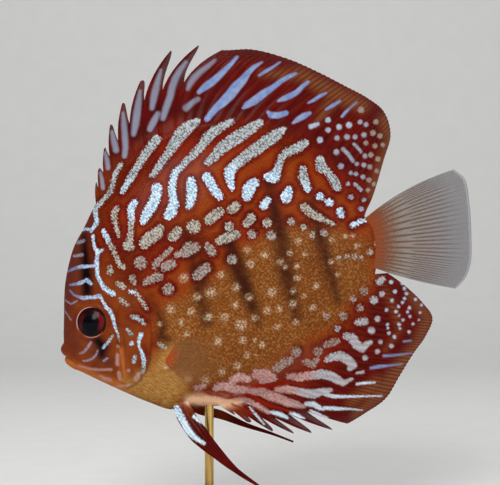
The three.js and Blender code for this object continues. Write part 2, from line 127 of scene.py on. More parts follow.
def line_gap(across: Array, down: Array, line: Line) -> Array:
    """Distance in pixels to a drawn line of changing width, negative inside it.

    Args:
        across: Pixel columns of the points.
        down: Pixel rows of the points.
        line: The line's knots, each a column, a row and a half width.

    Returns:
        One distance for each point.
    """
    knots = line if len(line) > 1 else line * 2
    best = np.full(across.shape, np.inf)
    for (ax, ay, ar), (bx, by, br) in zip(knots, knots[1:]):
        dx, dy = bx - ax, by - ay
        reach = max(dx * dx + dy * dy, TINY)
        share = np.clip(((across - ax) * dx + (down - ay) * dy) / reach, 0.0, 1.0)
        gap = np.hypot(across - ax - share * dx, down - ay - share * dy) - (ar + share * (br - ar))
        best = np.minimum(best, gap)
    return best


def loop_gap(across: Array, down: Array, loop: Line) -> Array:
    """Distance in pixels to a closed loop of columns and rows, positive inside it.

    Args:
        across: Pixel columns of the points.
        down: Pixel rows of the points.
        loop: The loop's corners.

    Returns:
        One distance for each point.
    """
    inside = np.zeros(across.shape, bool)
    best = np.full(across.shape, np.inf)
    for (ax, ay), (bx, by) in zip(loop, loop[1:] + loop[:1]):
        dx, dy = bx - ax, by - ay
        share = np.clip(((across - ax) * dx + (down - ay) * dy) / (dx * dx + dy * dy), 0.0, 1.0)
        best = np.minimum(best, np.hypot(across - ax - share * dx, down - ay - share * dy))
        crosses = (ay > down) != (by > down)
        inside ^= crosses & (across < ax + (down - ay) * dx / (dy if dy else TINY))
    return np.where(inside, best, -best)


@dataclass(frozen=True)
class Placement:
    """Where the middle of the fish's flank stands in the shared frame."""

    along: float = -16.02
    up: float = 94.6

    def world(self, points: Array) -> Array:
        """Takes points of the fish's own frame, in millimetres, to the shared frame, in metres."""
        return (points + np.array([self.along, 0.0, self.up])) / METRE


@dataclass(frozen=True)
class Sight:
    """How the photograph looks at the fish: along +Y and level with its flank."""

    width: float = 500.0
    height: float = 485.0
    pixel: float = 0.36
    distance: float = 550.0
    middle_x: float = 10.08
    middle_z: float = 8.1
    sensor: float = 36.0
    nearest: float = 10.0

    def pixels(self, points: Array, depth: Array) -> tuple[Array, Array]:
        """Finds where the photograph shows points.

        Args:
            points: Points of the fish's own frame.
            depth: How far each lies behind the plane y = 0, as seen from the left side.

        Returns:
            Their pixel columns and rows.
        """
        scale = self.distance / (self.distance + depth) / self.pixel
        across = self.width / 2 + (points[:, 0] - self.middle_x) * scale
        down = self.height / 2 - (points[:, 2] - self.middle_z) * scale
        return across, down

    def make_camera(self, place: Placement) -> None:
        """Sets the scene's camera to this view.

        Args:
            place: Where the fish stands.
        """
        data = bpy.data.cameras.new("view")
        data.sensor_width = self.sensor
        data.lens = self.sensor * self.distance / (self.width * self.pixel)
        data.clip_start = self.nearest / METRE
        camera = bpy.data.objects.new("view", data)
        spot = place.world(np.array([self.middle_x, -self.distance, self.middle_z]))
        camera.location = Vector(spot.tolist())
        camera.rotation_euler = (math.pi / 2, 0.0, 0.0)
        bpy.context.scene.collection.objects.link(camera)
        bpy.context.scene.camera = camera


PLACE = Placement()
SIGHT = Sight()


class Tone(Enum):
    """The tints that the pale markings come in: shares of ice, pearl, blue, smoke and rose over silver."""

    SILVER = (0.0, 0.0, 0.0, 0.0, 0.0)
    FROST = (1.0, 0.0, 0.0, 0.0, 0.0)
    PEARL = (0.0, 1.0, 0.0, 0.0, 0.0)
    SATIN = (0.0, 0.0, 0.12, 0.0, 0.18)
    SMOKE = (0.0, 0.0, 0.0, 1.0, 0.0)
    LILAC = (0.0, 0.0, 1.0, 0.0, 0.0)
    ICE = (1.0, 0.0, 0.35, 0.0, 0.0)
    ROSE = (0.0, 0.0, 0.0, 0.0, 1.0)
    MAUVE = (0.0, 0.0, 0.6, 0.0, 0.35)
    ASH = (0.0, 0.9, 0.0, 0.0, 0.12)


@dataclass(frozen=True)
class Family:
    """Pale markings of one tint.

    A line's knots and a spot are each a column, a row and a half width in pixels.
    """

    tone: Tone
    strength: float
    lines: tuple[Line, ...] = ()
    spots: Line = ()

    def gap(self, across: Array, down: Array) -> Array:
        """Distance in pixels to the family's nearest marking, negative inside it.

        Args:
            across: Pixel columns of the points.
            down: Pixel rows of the points.

        Returns:
            One distance for each point, FAR at most.
        """
        best = np.full(len(across), FAR)
        for line in self.lines + tuple((spot,) for spot in self.spots):
            knots = np.array(line)
            left, top = (knots[:, :2] - knots[:, 2:]).min(0) - FAR
            right, bottom = (knots[:, :2] + knots[:, 2:]).max(0) + FAR
            here = np.flatnonzero((across > left) & (across < right) & (down > top) & (down < bottom))
            if len(here):
                best[here] = np.minimum(best[here], line_gap(across[here], down[here], line))
        return best


# Long stripes that run from the back on to the dorsal fin's foot.
BACK_STRIPES = Family(Tone.SILVER, 1.0, lines=(
    ((121, 164, 1.6), (116, 172, 2), (113, 181, 2.1), (111, 191, 1.9), (105, 198, 1.9), (94, 210, 2.2)),
    ((157, 139, 4), (149, 149, 4.2), (143, 158, 3.6), (136, 169, 3.2), (130, 179, 3), (122, 192, 2)),
    ((197, 121, 3), (188, 127, 5.5), (181, 134, 6), (175, 143, 5), (169, 152, 3.8), (156, 171, 3),
     (152, 176, 2)),
    ((232, 121, 2.6), (225, 125, 3.4), (216, 130, 4.4), (207, 138, 4.6), (202, 146, 4), (190, 158, 3.2),
     (180, 168, 2.6)),
    ((260, 123, 3.4), (252, 128, 5), (244, 133, 5.5), (236, 138, 6), (228, 143, 5.6), (220, 150, 5),
     (213, 158, 4), (207, 163, 2.4)),
    ((284, 129, 2.5), (276, 135, 5.2), (266, 142, 5.8), (255, 150, 5.4), (245, 157, 5), (236, 164, 4.4)),
    ((305, 143, 3.5), (297, 148, 4.5), (288, 152, 4), (282, 157, 3.2), (279, 164, 3), (277, 170, 4)),
    ((303, 169, 3), (303, 177, 4.4), (306, 184, 4)),
    ((320, 160, 4), (321, 167, 5), (329, 173, 3), (334, 181, 4), (337, 187, 4)),
))
# Bright lower ends of those stripes, spots between them, and bright lines on the head and pelvic foot.
BRIGHT_MARKS = Family(Tone.FROST, 1.0, lines=(
    ((180, 168, 2.6), (175, 173, 3), (173, 180, 3.3), (172, 188, 3.3), (173, 197, 3.8), (174, 205, 4.6),
     (171, 212, 5.4), (168, 216, 4)),
    ((236, 164, 4.2), (229, 172, 4.6), (230, 180, 3.8), (232, 188, 2.6)), ((130, 180, 2.8), (122, 192, 2)),
    ((157, 188, 4.6), (156, 196, 5), (153, 204, 5), (148, 212, 4.5), (144, 219, 3.8), (143, 222, 2.5)),
    ((191, 181, 4), (192, 190, 4.7), (191, 200, 4.2), (189, 206, 3)),
    ((207, 177, 4.4), (211, 184, 4.2), (216, 192, 4), (220, 197, 3.2)),
    ((254, 183, 4.6), (249, 189, 6), (247, 196, 4.6)), ((268, 200, 3), (264, 205, 4.2)),
    ((289, 190, 3.5), (286, 197, 5.6)), ((277, 172, 4), (274, 177, 5.4), (268, 177, 4)),
    ((306, 184, 4), (308, 189, 3.2)), ((340, 211, 3.2), (341, 215, 3.2)),
    ((353, 225, 2.6), (360, 221.5, 2.1), (368, 219.5, 1.2)),
    ((135, 202, 2.5), (131, 208, 3.2), (131.5, 220, 2.8)),
    ((103, 230, 1.4), (105, 235, 2.4), (108, 240, 2.6)), ((135, 292, 1.8), (130, 291.5, 1.3)),
    ((95, 209, 2.2), (96, 217, 2.2), (97, 222, 2.4), (94, 227, 2), (91, 231, 1.8)),
    ((101, 283, 2), (104, 288, 2.2), (109, 291.5, 2.3), (113, 294, 2.1)),
    ((141, 334, 2.4), (139, 340, 2), (139, 346, 1.2), (141, 350, 1.4), (143, 355, 2.2), (144, 361, 2.2)),
    ((93, 236, 1.9), (93, 241, 1.4), (95, 248, 1.8), (98, 252, 2.5), (97, 257, 1.8), (96.5, 262, 2.5),
     (97, 268, 2), (97.5, 276, 2), (101, 283, 2)),
    ((98, 252, 2), (103, 250, 1.3)),
    ((102, 300, 1.4), (106, 307, 1.8), (110, 311, 2.1), (113, 318, 1.9), (115, 327, 1.6), (118, 334, 1.2)),
), spots=(
    (320, 196.5, 3.8), (329, 202.5, 3.9), (131.7, 343, 2.5), (178, 411, 3.2),
))
# Silver lines on the cheek and gill cover.
CHEEK_LINES = Family(Tone.SILVER, 1.0, lines=(
    ((118, 334, 1.2), (119.5, 341, 0.7)),
    ((132, 316.5, 2), (137, 318, 2.4), (142, 321, 1.9), (144, 323, 1.7)),
    ((127, 329, 1.6), (130, 332.5, 2), (132, 334.5, 1.8)), ((135, 356, 2.1), (134, 361, 2.3)),
    ((144, 361, 2.2), (144, 367, 1.8), (142.5, 373, 1.2)),
))
# Greyer spots at the edge of the golden flank, and lines over the nape.
NAPE_MARKS = Family(Tone.PEARL, 0.95, lines=(
    ((131.5, 220, 2.8), (130.5, 232, 2.6), (130, 240, 3), (127, 246, 4), (131, 247, 3.2)),
    ((117, 208, 2), (114, 214, 3), (115, 222, 2.2), (117, 230, 1.9), (119, 236, 1.2)),
    ((108, 240, 2.5), (111, 245, 2.4), (114, 252, 2), (117, 259, 2), (120, 265, 2.3), (123, 267, 2.4)),
    ((110, 268, 2.3), (110, 272, 2.8)), ((118, 283, 2), (123, 286.5, 2.5)),
    ((121, 300, 2.3), (125, 303.5, 2), (128, 305.5, 1)),
    ((135, 292, 1.8), (139, 297, 1.6), (143, 303, 1.6), (147, 309, 1)),
    ((112.5, 336, 1.5), (109, 341, 1.7), (106, 344.5, 1.5)),
    ((160, 228, 3.5), (157, 233, 5.5), (150, 238, 6), (144, 243, 5), (145, 246, 3)),
    ((178, 231, 4), (173, 237, 4.6)), ((219, 212, 4.5), (209, 220, 4.5)), ((236, 206, 4), (232, 209, 4.4)),
    ((251, 218, 4.4), (246, 224, 3.3)),
    ((304, 207, 3.5), (311, 213, 4), (318, 217, 3.5), (325, 220, 2), (333, 224, 2)),
    ((219, 241, 3.5), (227, 238, 4.5), (237, 234, 3.5)),
    ((159, 343.5, 1.9), (162, 345.5, 2.4), (165.5, 347.5, 1.6)),
), spots=(
    (193.5, 226.5, 6.6), (267, 223, 4.4), (229, 226.5, 4.4), (304, 227.5, 2.9),
))
# Fading spots where the red of the back ends, and on the tail stalk.
FADING_SPOTS = Family(Tone.ASH, 0.72, lines=(
    ((176, 255, 2), (183, 253, 4.5), (190, 250, 5), (196, 247, 4)), ((184, 247, 1.4), (189, 243, 1.8)),
    ((171, 249, 2), (165, 254, 2.4), (160, 259, 2), (156, 263, 3.4), (155, 267, 2.4)),
    ((172, 264, 4), (165, 267, 4)), ((132.5, 278, 2.9), (134, 283, 2.1)),
    ((145, 283, 2.4), (150, 280, 3.7), (157, 277, 4), (160, 277, 3)), ((208, 246, 3.4), (212, 252, 4)),
    ((206, 268, 4.8), (197, 276, 4.4)),
), spots=(
    (140.5, 263, 6), (168, 289, 5.4), (252, 234.5, 4.3), (271, 235.6, 4.6), (291, 221.5, 3.6),
    (232, 259.5, 4.6), (324, 233, 3.4), (312, 235, 3.2), (378, 231, 2.6), (377, 244, 2.4), (384, 245, 1.6),
    (370, 252, 2.6), (383, 255, 1.8), (339, 258, 2.3), (347, 257, 2.5), (355, 256.5, 2.6), (361, 257.5, 2),
))
# Smooth blue stripes in the soft dorsal fin.
DORSAL_STRIPES = Family(Tone.LILAC, 1.0, lines=(
    ((237, 57, 1.4), (232, 63, 2), (226, 69, 2.6), (219, 76, 3.2), (212, 82, 3.6), (205, 87, 3.4),
     (199, 92, 2)),
    ((262, 62, 0.9), (254, 67, 2), (248, 73, 2.7), (243, 80, 4), (236, 87, 5), (230, 95, 5),
     (223, 102, 4.4), (216, 108, 3.4), (211, 114, 3), (207, 119, 2.6)),
    ((280, 62, 0.8), (273, 67, 1.3), (266, 71, 1.6), (259, 75.5, 1)),
    ((296, 73.5, 1.2), (290, 76, 2), (281, 81, 2.2), (272, 88, 2.7), (263, 94, 3.6), (254, 101, 4),
     (247, 105, 3), (243, 108, 1.2)),
    ((308, 82, 1.5), (303, 86, 2), (297, 92, 2.4), (290, 96, 2.8), (283, 99, 2.4), (278, 101, 1)),
    ((326, 93, 1), (320, 96, 1.6), (314, 100, 1.6), (308, 103, 0.8)),
    ((340, 101, 1), (333, 105.5, 1.8), (326, 109.5, 1)),
    ((357, 102, 0.5), (350, 108, 0.8), (345, 113, 1.6), (342, 116.5, 1.2)),
    ((286, 113, 2.4), (278, 115.5, 3), (271, 115, 3), (268, 112, 1.5)),
    ((310, 113, 1.5), (304, 116, 3), (297, 120, 2.4), (293, 123, 1)),
))
# Bright spots behind those stripes.
DORSAL_SPOTS = Family(Tone.ICE, 0.72, lines=(
    ((318, 124, 1.8), (311, 126.5, 2.6)),
), spots=(
    (328, 120, 2.8), (328, 130, 2.6), (320, 140, 3), (339, 127, 2.8), (349, 125, 3),
))
# Blue bars over the forehead and round the eye.
FOREHEAD_BARS = Family(Tone.ICE, 0.9, lines=(
    ((82, 229, 1.9), (90, 229.5, 1.4)),
    ((76, 268, 1.5), (80, 267, 2), (84, 266.4, 2.1), (88, 266.4, 1.7), (93, 266, 1.8)),
    ((76, 284, 1.5), (80, 283, 2.1), (84, 281.4, 1.7), (87, 280, 2.2), (91, 284, 1.7)),
    ((79, 297, 1.6), (84, 298.2, 2.1), (89, 297.4, 1.8), (94, 297.6, 2), (99, 295.8, 2.2), (102, 299, 1.5)),
    ((108.6, 341.5, 1.4), (105.5, 345, 1.9), (103, 348, 1.3)),
))
# Their dimmer ends towards the profile.
BROW_LINES = Family(Tone.LILAC, 0.75, lines=(
    ((68, 271.5, 1.1), (72, 269.5, 1.6), (76, 268, 1.5)), ((70, 285, 1.2), (76, 284, 1.6)),
    ((69.5, 290, 0.8), (74, 295, 1.2), (79, 297, 1.5)),
))
# The stripe down the pelvic fin.
PELVIC_STRIPE = Family(Tone.FROST, 1.0, lines=(
    ((176.5, 409, 3.4), (183, 421, 3.3), (188, 430, 3.2), (194, 437, 2.6), (204, 443.5, 1.5)),
    ((194, 416.5, 1.5), (199, 420, 2.1), (203, 423, 1.4)),
))
# Smoky windows of membrane between the spines.
SPINE_WINDOWS = Family(Tone.SMOKE, 0.85, lines=(
    ((123, 113, 1), (124, 125, 2.2), (125, 138, 2.5), (125.5, 148, 2.3), (124.5, 156, 2)),
    ((140, 91, 1), (138.5, 102, 2.5), (137, 113, 3.1), (135.5, 124, 3), (133.5, 134, 2)),
    ((161, 70, 0.8), (158, 80, 2.1), (155.5, 90, 2.9), (153.5, 99, 2.8), (152, 108, 1.8)),
    ((158, 114, 2.2), (154, 121, 2.8), (150, 129, 2.4)),
    ((186, 62, 1.2), (180, 70, 2.2), (175, 79, 2.8), (172, 88, 2.9), (170, 97, 2.9), (166, 108, 2.8),
     (163, 118, 2.2)),
    ((215, 60, 0.9), (208, 66, 1.8), (200, 72, 2.4), (194, 78, 2.8), (190, 84, 2.3), (188, 89, 1.4)),
    ((198, 99, 1.8), (192, 103, 2.2), (186, 108, 2.8)), ((112, 132, 1.3), (114, 141, 2.4), (116, 150, 2.5)),
    ((105, 153, 1), (107, 160, 1.8), (108, 168, 1.7)),
    ((100.5, 173, 0.9), (102, 180, 1.4), (103, 188, 1.4)),
))
# Net of small spots in the hind lobe of the dorsal fin.
DORSAL_NET = Family(Tone.ICE, 0.5, lines=(
    ((343, 149, 1.8), (348, 154, 1.9), (353, 161, 1.7)),
    ((354, 144, 1.5), (358, 148, 1.5), (361, 152, 1.2)),
    ((355, 184, 1.7), (358, 187, 1.4), (361, 190, 1.7)),
), spots=(
    (347, 137, 2.8), (337, 138, 2.6), (355, 137, 2.4), (336.5, 152, 2.9), (357, 164, 1.9), (341, 166, 2.8),
    (356, 174, 2.1), (351, 173, 1.9), (363, 177, 2.3), (364, 165, 2.4), (365, 156, 2.3), (348, 184, 2),
    (351, 197, 2.3), (364, 200, 2), (361, 209, 2.4), (366, 124.5, 2.4), (360, 122, 2.4), (364, 135, 2.6),
))
# Its fainter spots towards the margin.
DORSAL_NET_RIM = Family(Tone.PEARL, 0.46, spots=(
    (361, 110, 3.2), (376, 122, 2.6), (373, 133, 2.8), (380, 136, 2.6), (366, 143, 2.4), (375, 146, 2.4),
    (383, 145, 2.2), (371, 155, 2.6), (378, 159, 2.6), (370, 167, 2.4), (377, 171, 2.2), (369, 180, 2.4),
    (374, 184, 2), (368, 190, 2.2),
))
# Faint mauve lines of the forehead, snout and cheek.
FACE_LINES = Family(Tone.MAUVE, 0.66, lines=(
    ((77, 243, 1.5), (83, 241, 1.8)), ((74, 256, 1.4), (82, 255, 1.8)),
    ((65, 300, 0.7), (71, 304, 0.9), (77, 301, 0.8)), ((65, 311, 0.6), (71, 320, 0.7)),
    ((98, 350, 0.9), (96, 355, 1.2), (92, 359, 1.3), (86, 361, 1.1), (83, 360.5, 0.7)),
    ((91, 342.5, 1.4), (88, 347, 1.4), (84, 352, 1.2), (80, 353.5, 0.9)),
    ((107.5, 358, 1.1), (104, 360.5, 1.4)),
))
# Rosy lines of the chin and spots of the gill cover.
CHIN_LINES = Family(Tone.ROSE, 0.62, lines=(
    ((79, 366, 0.8), (90, 369, 1.1), (100, 369.5, 1.2), (111, 369.5, 1.2)),
    ((100, 376, 0.9), (106, 379, 1.6), (111, 380.5, 0.9)),
    ((115, 387, 0.6), (122, 386, 0.8), (131, 384, 0.8)), ((139, 373, 1.8), (137, 378, 2.7)),
    ((117.5, 355, 1.8), (117.5, 364, 2)), ((119, 373, 1.8), (120, 379, 1.8)),
), spots=(
    (129, 370, 1.5), (118, 346, 1.4),
))
# Rosy bands along the anal fin's foot.
ANAL_BANDS = Family(Tone.ROSE, 0.8, lines=(
    ((256, 374, 4), (266, 374, 4.4), (273, 378, 3.4), (262, 381, 3)),
    ((250, 390, 4), (262, 392, 4.4), (275, 397, 4.4), (287, 402, 3.8), (297, 404.5, 2.8), (305, 407, 1)),
    ((289, 376, 2.4), (300, 377, 3.9), (312, 375.5, 3.9)),
    ((277, 389, 2.8), (286, 389, 3.6), (296, 391, 3.2)),
    ((236, 397, 3), (248, 401, 2.8), (256, 405, 2.4), (263, 409, 1.8), (270, 413, 1.2)),
))
# Greyer marks above them, at the edge of the body.
ANAL_FOOT_SPOTS = Family(Tone.ASH, 0.55, lines=(
    ((276, 369, 3.4), (284, 363, 4.4), (291, 360, 3)), ((305, 362, 2.8), (313, 364, 3.6), (317, 360, 2.4)),
    ((325, 345, 2.4), (332, 342.5, 3.3), (338, 341, 2.4)),
), spots=(
    (296, 352, 4.6), (318, 351.5, 4.2), (353, 299, 3.2), (360, 308, 3.4), (364, 291, 3.8), (343, 316, 3.8),
    (326, 316, 3.4),
))
# Rosy bands along the belly.
BELLY_BANDS = Family(Tone.ROSE, 0.95, lines=(
    ((188, 402, 2.4), (193, 399, 3), (199, 401, 3.6)),
    ((203, 399, 2.4), (209, 398, 3), (216, 400, 3.4), (224, 399.5, 3), (232, 402, 2.6), (240, 401, 2)),
    ((205, 406, 1.6), (214, 406, 1.8), (224, 405.5, 1.6)),
    ((216, 388, 3), (224, 386, 4), (233, 389, 4), (243, 390, 3.4)),
    ((232, 380, 3), (240, 377, 3.4), (248, 379, 3)), ((196, 388, 2), (204, 386, 2.2)),
))
# Satin ribbons and spots in the middle of the anal fin.
ANAL_RIBBONS = Family(Tone.SATIN, 0.86, lines=(
    ((312, 375.5, 3.9), (322, 374, 4.4), (331, 376, 4.4), (338, 380, 4), (343, 383, 2.8), (352, 379, 1.2)),
    ((296, 391, 3.2), (305, 393, 4), (314, 394, 4.4), (322, 391.5, 3.4), (331, 390, 1.8)),
    ((346, 336, 3), (352, 338, 4.4), (357, 345, 4.4), (362, 349, 3.4), (367, 344, 2.8), (371, 342, 1.8)),
    ((327, 360, 2.4), (333, 357, 4), (341, 356, 4.4), (348, 360, 4.4), (353, 365, 3.9), (350, 368, 2.8)),
    ((358, 322, 3.2), (365, 321.5, 3.4)), ((379.5, 281.5, 3.4), (383, 279, 2.6)),
    ((357, 373, 1.1), (363, 372, 1.4)),
), spots=(
    (371.5, 330.5, 3.5), (337.5, 328.5, 2.9), (377.5, 319, 2.8), (374, 300.5, 4), (382, 294, 2.7),
    (365, 358, 2.6), (391.5, 346, 2.2), (377.5, 351.5, 2.3), (380.5, 342, 2),
))
# White dashes towards the anal fin's margin.
ANAL_DASHES = Family(Tone.FROST, 0.85, lines=(
    ((306, 404, 1.8), (313, 404, 2.8), (320, 408, 2.2), (323, 410, 1)),
    ((325, 408, 1.9), (335, 408.5, 1.8), (350, 409, 0.9), (362, 410, 0.5)),
    ((325, 394, 1.8), (333, 396.5, 1.9), (345, 396.5, 1.3), (360, 396.3, 0.9), (382, 396, 0.6)),
    ((271, 412, 1.5), (279, 414, 2.4), (287, 417.5, 1.5)),
    ((291, 413, 1.9), (298, 416, 1.9), (304, 418, 0.8)), ((250, 407, 0.9), (257, 416, 1), (264, 424, 0.8)),
    ((311, 411, 1.3), (318, 414, 1.3), (328, 418, 0.7)),
    ((357, 384, 1.2), (365, 383, 1.5), (375, 382.5, 0.7)),
))
# Small dots in the hind lobe of the anal fin.
ANAL_DOTS = Family(Tone.ICE, 0.82, spots=(
    (386.5, 310, 1.6), (396, 311.5, 1.6), (398.5, 306.5, 1.5), (407.5, 312, 1.4), (409.5, 308, 1.6),
    (410, 316.5, 1.3), (399, 315.5, 1.1), (403, 320, 1.4), (399, 324.5, 1.7), (387.5, 324.5, 1.5),
    (388, 328, 1.2), (400, 328.5, 1.2), (389, 333, 1.6), (409, 332, 1.6), (413, 324, 1.3), (419, 320, 1),
    (420, 312.5, 1.2), (394.5, 337, 1.8), (402.5, 302.5, 1.5), (391, 273, 1.9), (391, 282, 2.1),
    (402.5, 283.5, 1.7), (404.5, 288.5, 1.6), (395, 291.5, 1.9), (406.5, 293.5, 1.7), (404.5, 298.5, 1.5),
    (392, 300.5, 1.7), (415.5, 299.5, 1.6), (421.5, 305, 1.2), (409.5, 307.5, 1.5),
))
# Blue streaks along the anal fin's hind rays.
ANAL_STREAKS = Family(Tone.LILAC, 0.8, lines=(
    ((384, 356, 1.4), (392, 355.5, 1.2), (402, 354.5, 0.8), (412, 353, 0.5)),
    ((371, 368, 1.4), (380, 366.5, 1.7), (390, 365.5, 1), (402, 364, 0.6)),
    ((404, 341.5, 1), (411, 340.5, 0.8)),
))
MARKINGS = (
    BACK_STRIPES, BRIGHT_MARKS, CHEEK_LINES, NAPE_MARKS, FADING_SPOTS, DORSAL_STRIPES, DORSAL_SPOTS,
    FOREHEAD_BARS, BROW_LINES, PELVIC_STRIPE, SPINE_WINDOWS, DORSAL_NET, DORSAL_NET_RIM, FACE_LINES,
    CHIN_LINES, ANAL_BANDS, ANAL_FOOT_SPOTS, BELLY_BANDS, ANAL_RIBBONS, ANAL_DASHES, ANAL_DOTS,
    ANAL_STREAKS,
)


@dataclass(frozen=True)
class Wash:
    """A soft zone of colour: thick lines drawn as the markings are, which fade out over some pixels."""

    name: str
    fade: float
    lines: tuple[Line, ...]

    def weight(self, across: Array, down: Array) -> Array:
        """How strongly the zone covers each pixel point, from 0 to 1."""
        gap = np.min([line_gap(across, down, line) for line in self.lines], axis=0)
        return 1 - smooth(gap, -self.fade / 2, self.fade / 2)


WASHES = (
    Wash("gold", 30, (
        ((185, 325, 28), (245, 318, 52), (305, 292, 44), (345, 272, 26)),
        ((205, 355, 30), (262, 345, 26)),
        ((248, 262, 14), (285, 248, 20), (335, 244, 16), (362, 246, 8)),
    )),
    Wash("crimson", 26, (
        ((118, 195, 9), (150, 152, 22), (190, 130, 25), (240, 122, 24), (290, 130, 20), (325, 145, 18),
         (345, 182, 12)),
        ((255, 385, 6), (300, 372, 12), (340, 350, 14), (368, 318, 10), (385, 285, 8)),
        ((126, 285, 8), (140, 262, 12), (165, 238, 10), (200, 238, 5)),
        ((108, 205, 8), (114, 232, 13), (124, 258, 11)),
        ((146, 180, 8), (137, 198, 9), (128, 215, 8)),
        ((262, 175, 7), (272, 190, 8), (268, 205, 5)),
    )),
    Wash("bald", 10, (
        ((76, 260, 22), (80, 300, 30), (92, 350, 30), (115, 330, 26), (130, 350, 20), (125, 380, 12)),
        ((96, 210, 3), (92, 235, 8), (96, 262, 10)),
        ((150, 344, 6), (166, 350, 8)),
        ((200, 402, 8), (250, 392, 10), (280, 390, 6)),
    )),
    Wash("face", 26, (
        ((76, 300, 22), (90, 345, 22), (108, 362, 22), (125, 340, 22), (128, 375, 14)),
        ((75, 262, 10), (96, 285, 12), (128, 300, 14)),
    )),
    Wash("umber", 18, (
        ((90, 222, 6), (80, 245, 10), (72, 275, 9), (68, 305, 7), (66, 335, 5), (74, 346, 7)),
        ((93, 352, 5), (108, 362, 5)),
        ((57, 344, 3), (60, 350, 3)),
    )),
    # Orange of the chin and lower jaw, brightest along the jaw's lower edge, where it is partly a painted
    # highlight; and a line between the gill cover's grooves.
    Wash("chin_orange_and_highlight", 12, (
        ((63, 358, 3), (67, 363, 4), (78, 369, 4), (98, 380, 5), (118, 389, 7), (134, 393, 8)),
        ((121, 350, 1), (123, 366, 2), (124, 380, 2)),
    )),
    Wash("breast", 22, (
        ((132, 386, 8), (150, 388, 18), (170, 384, 18), (166, 400, 10)),
        ((158, 372, 10), (170, 352, 8)),
    )),
    Wash("rose", 18, (
        ((225, 392, 7), (255, 380, 10), (290, 364, 9), (318, 350, 7)),
    )),
    Wash("peach", 12, (
        ((190, 400, 4), (198, 400, 6), (210, 402, 6), (226, 403, 5), (238, 403, 2)),
    )),
    Wash("vein", 2.4, (
        ((205, 391, 1.2), (209, 393.5, 1.9), (213, 395, 1.2)),
        ((216, 394.5, 1.3), (228, 398, 1.6), (237, 396, 1.6), (250, 395, 1.7), (260, 401.5, 1.6),
         (271, 406, 1.6), (292, 412, 1.3)),
        ((232, 404, 1), (240, 407.5, 1.2), (252, 414, 1)),
        ((250, 387, 1.7), (262, 386, 2), (272, 385.5, 2), (286, 383, 1.3)),
    )),
    Wash("dusk", 14, (
        ((151, 296, 2), (157, 312, 3.6), (163, 326, 3.4), (161, 336, 4.5), (168, 340, 3.5)),
        ((186, 232, 2), (190, 250, 5), (196, 275, 6), (201, 300, 6), (207, 322, 5)),
        ((226, 226, 4), (230, 245, 7.5), (237, 266, 9), (244, 284, 8), (251, 303, 7), (258, 322, 4)),
        ((267, 182, 3), (272, 200, 5), (277, 220, 8), (281, 240, 8), (285, 268, 8), (290, 292, 7),
         (297, 318, 4)),
        ((312, 200, 2), (317, 220, 5), (320, 238, 6.5), (325, 256, 5), (332, 280, 5), (338, 300, 3)),
        ((200, 255, 4), (204, 285, 5)),
    )),
    Wash("soot", 10, (
        ((84, 236, 2), (85.5, 255, 4.4), (86.5, 275, 6), (87, 292, 5.4)),
        ((98, 341, 5), (103, 347, 6), (102, 354, 4)),
    )),
    Wash("brown", 14, (
        ((262, 74, 2), (300, 74, 6), (335, 94, 8), (362, 106, 6)),
        ((318, 120, 3), (330, 104, 5)),
        ((384, 120, 5), (390, 140, 5), (381, 168, 5), (372, 195, 4)),
        ((412, 296, 4), (428, 318, 5), (418, 345, 6), (400, 372, 10), (375, 398, 6), (355, 416, 3)),
        ((352, 402, 5), (378, 384, 7)),
        ((383, 285, 1), (392, 305, 2), (400, 330, 1), (385, 350, 0)),
    )),
)
# Fine dark lines: painted shade in the mouth's slit and along the gill cover's edges, and the lateral line's
# own dark line in both its runs.
CREASE_SHADE_AND_LATERAL_LINES = (
    ((62, 355.3, 0.2), (68, 358, 0.3), (72, 360.5, 0.2), (77, 364, -0.3)),
    ((147, 305, -0.4), (150.5, 318, 0.1), (151.5, 340, 0.5), (150, 360, 0.5), (146, 372, 0.3),
     (138, 384, 0.1), (131, 389, -0.4)),
    ((117, 332, 0.1), (118.5, 350, 0.4), (121, 365, 0.5), (123, 377, 0.1)),
    ((124, 334, 0.1), (125.5, 352, 0.4), (126.5, 368, 0.1)),
    ((289, 262, 0.1), (312, 260, 0.3), (335, 256, 0.3), (356, 250, 0.3), (378, 243, 0.1)),
    ((152, 284, 0.1), (160, 268, 0.3), (172, 256, 0.3), (186, 246, 0.3), (206, 236, 0.3), (241, 225, 0.1)),
)
# Faint spots in the gold of the flank: a column, a row and a radius each.
GHOSTS = (
    (250.5, 264, 4.4), (265, 255, 4), (247, 250, 3.6), (298, 241, 3.8), (280.5, 262, 3.6), (290, 253, 3.2),
    (305, 254, 2.8), (297, 266, 3.2), (285, 267, 2.6), (221, 275, 4), (184, 278, 5), (236, 287, 4),
    (211, 293, 5.6), (197, 297, 4), (272, 292, 4.8), (297, 278, 3.6), (249, 297, 4), (316, 286, 3.8),
    (293, 291, 3.2), (304, 296, 2.8), (292.5, 304, 4.4), (235, 305, 3.6), (191, 311, 4), (208, 317, 4.6),
    (224, 317, 4.6), (241, 325, 6), (254.7, 318, 3.8), (267, 311, 4), (279, 309, 3.6), (313, 308, 3.6),
    (277, 327, 3.6), (296, 322, 3.4), (171, 309, 4.4), (181, 322, 3.6), (187, 334, 3.4), (160, 324, 2.6),
    (218, 342, 4.6), (243, 340, 4), (262, 345, 3.8), (237, 366, 4.2), (222, 372, 3.8), (247, 355, 3.4),
    (332, 240, 3), (345, 236, 2.6), (353, 236, 2.4), (357, 246, 3), (331, 262, 3), (338, 274, 2.6),
    (255, 340, 2.6), (256, 355, 1.6), (205, 380, 5), (188, 378, 4), (232, 384, 4), (166, 366, 3.6),
)


def attribute(piece: Piece, name: str, values: Array) -> None:
    """Writes one number for each vertex of a piece."""
    layer = piece.data.attributes.get(name) or piece.data.attributes.new(name, "FLOAT", "POINT")
    layer.data.foreach_set("value", np.ascontiguousarray(values, np.float32))


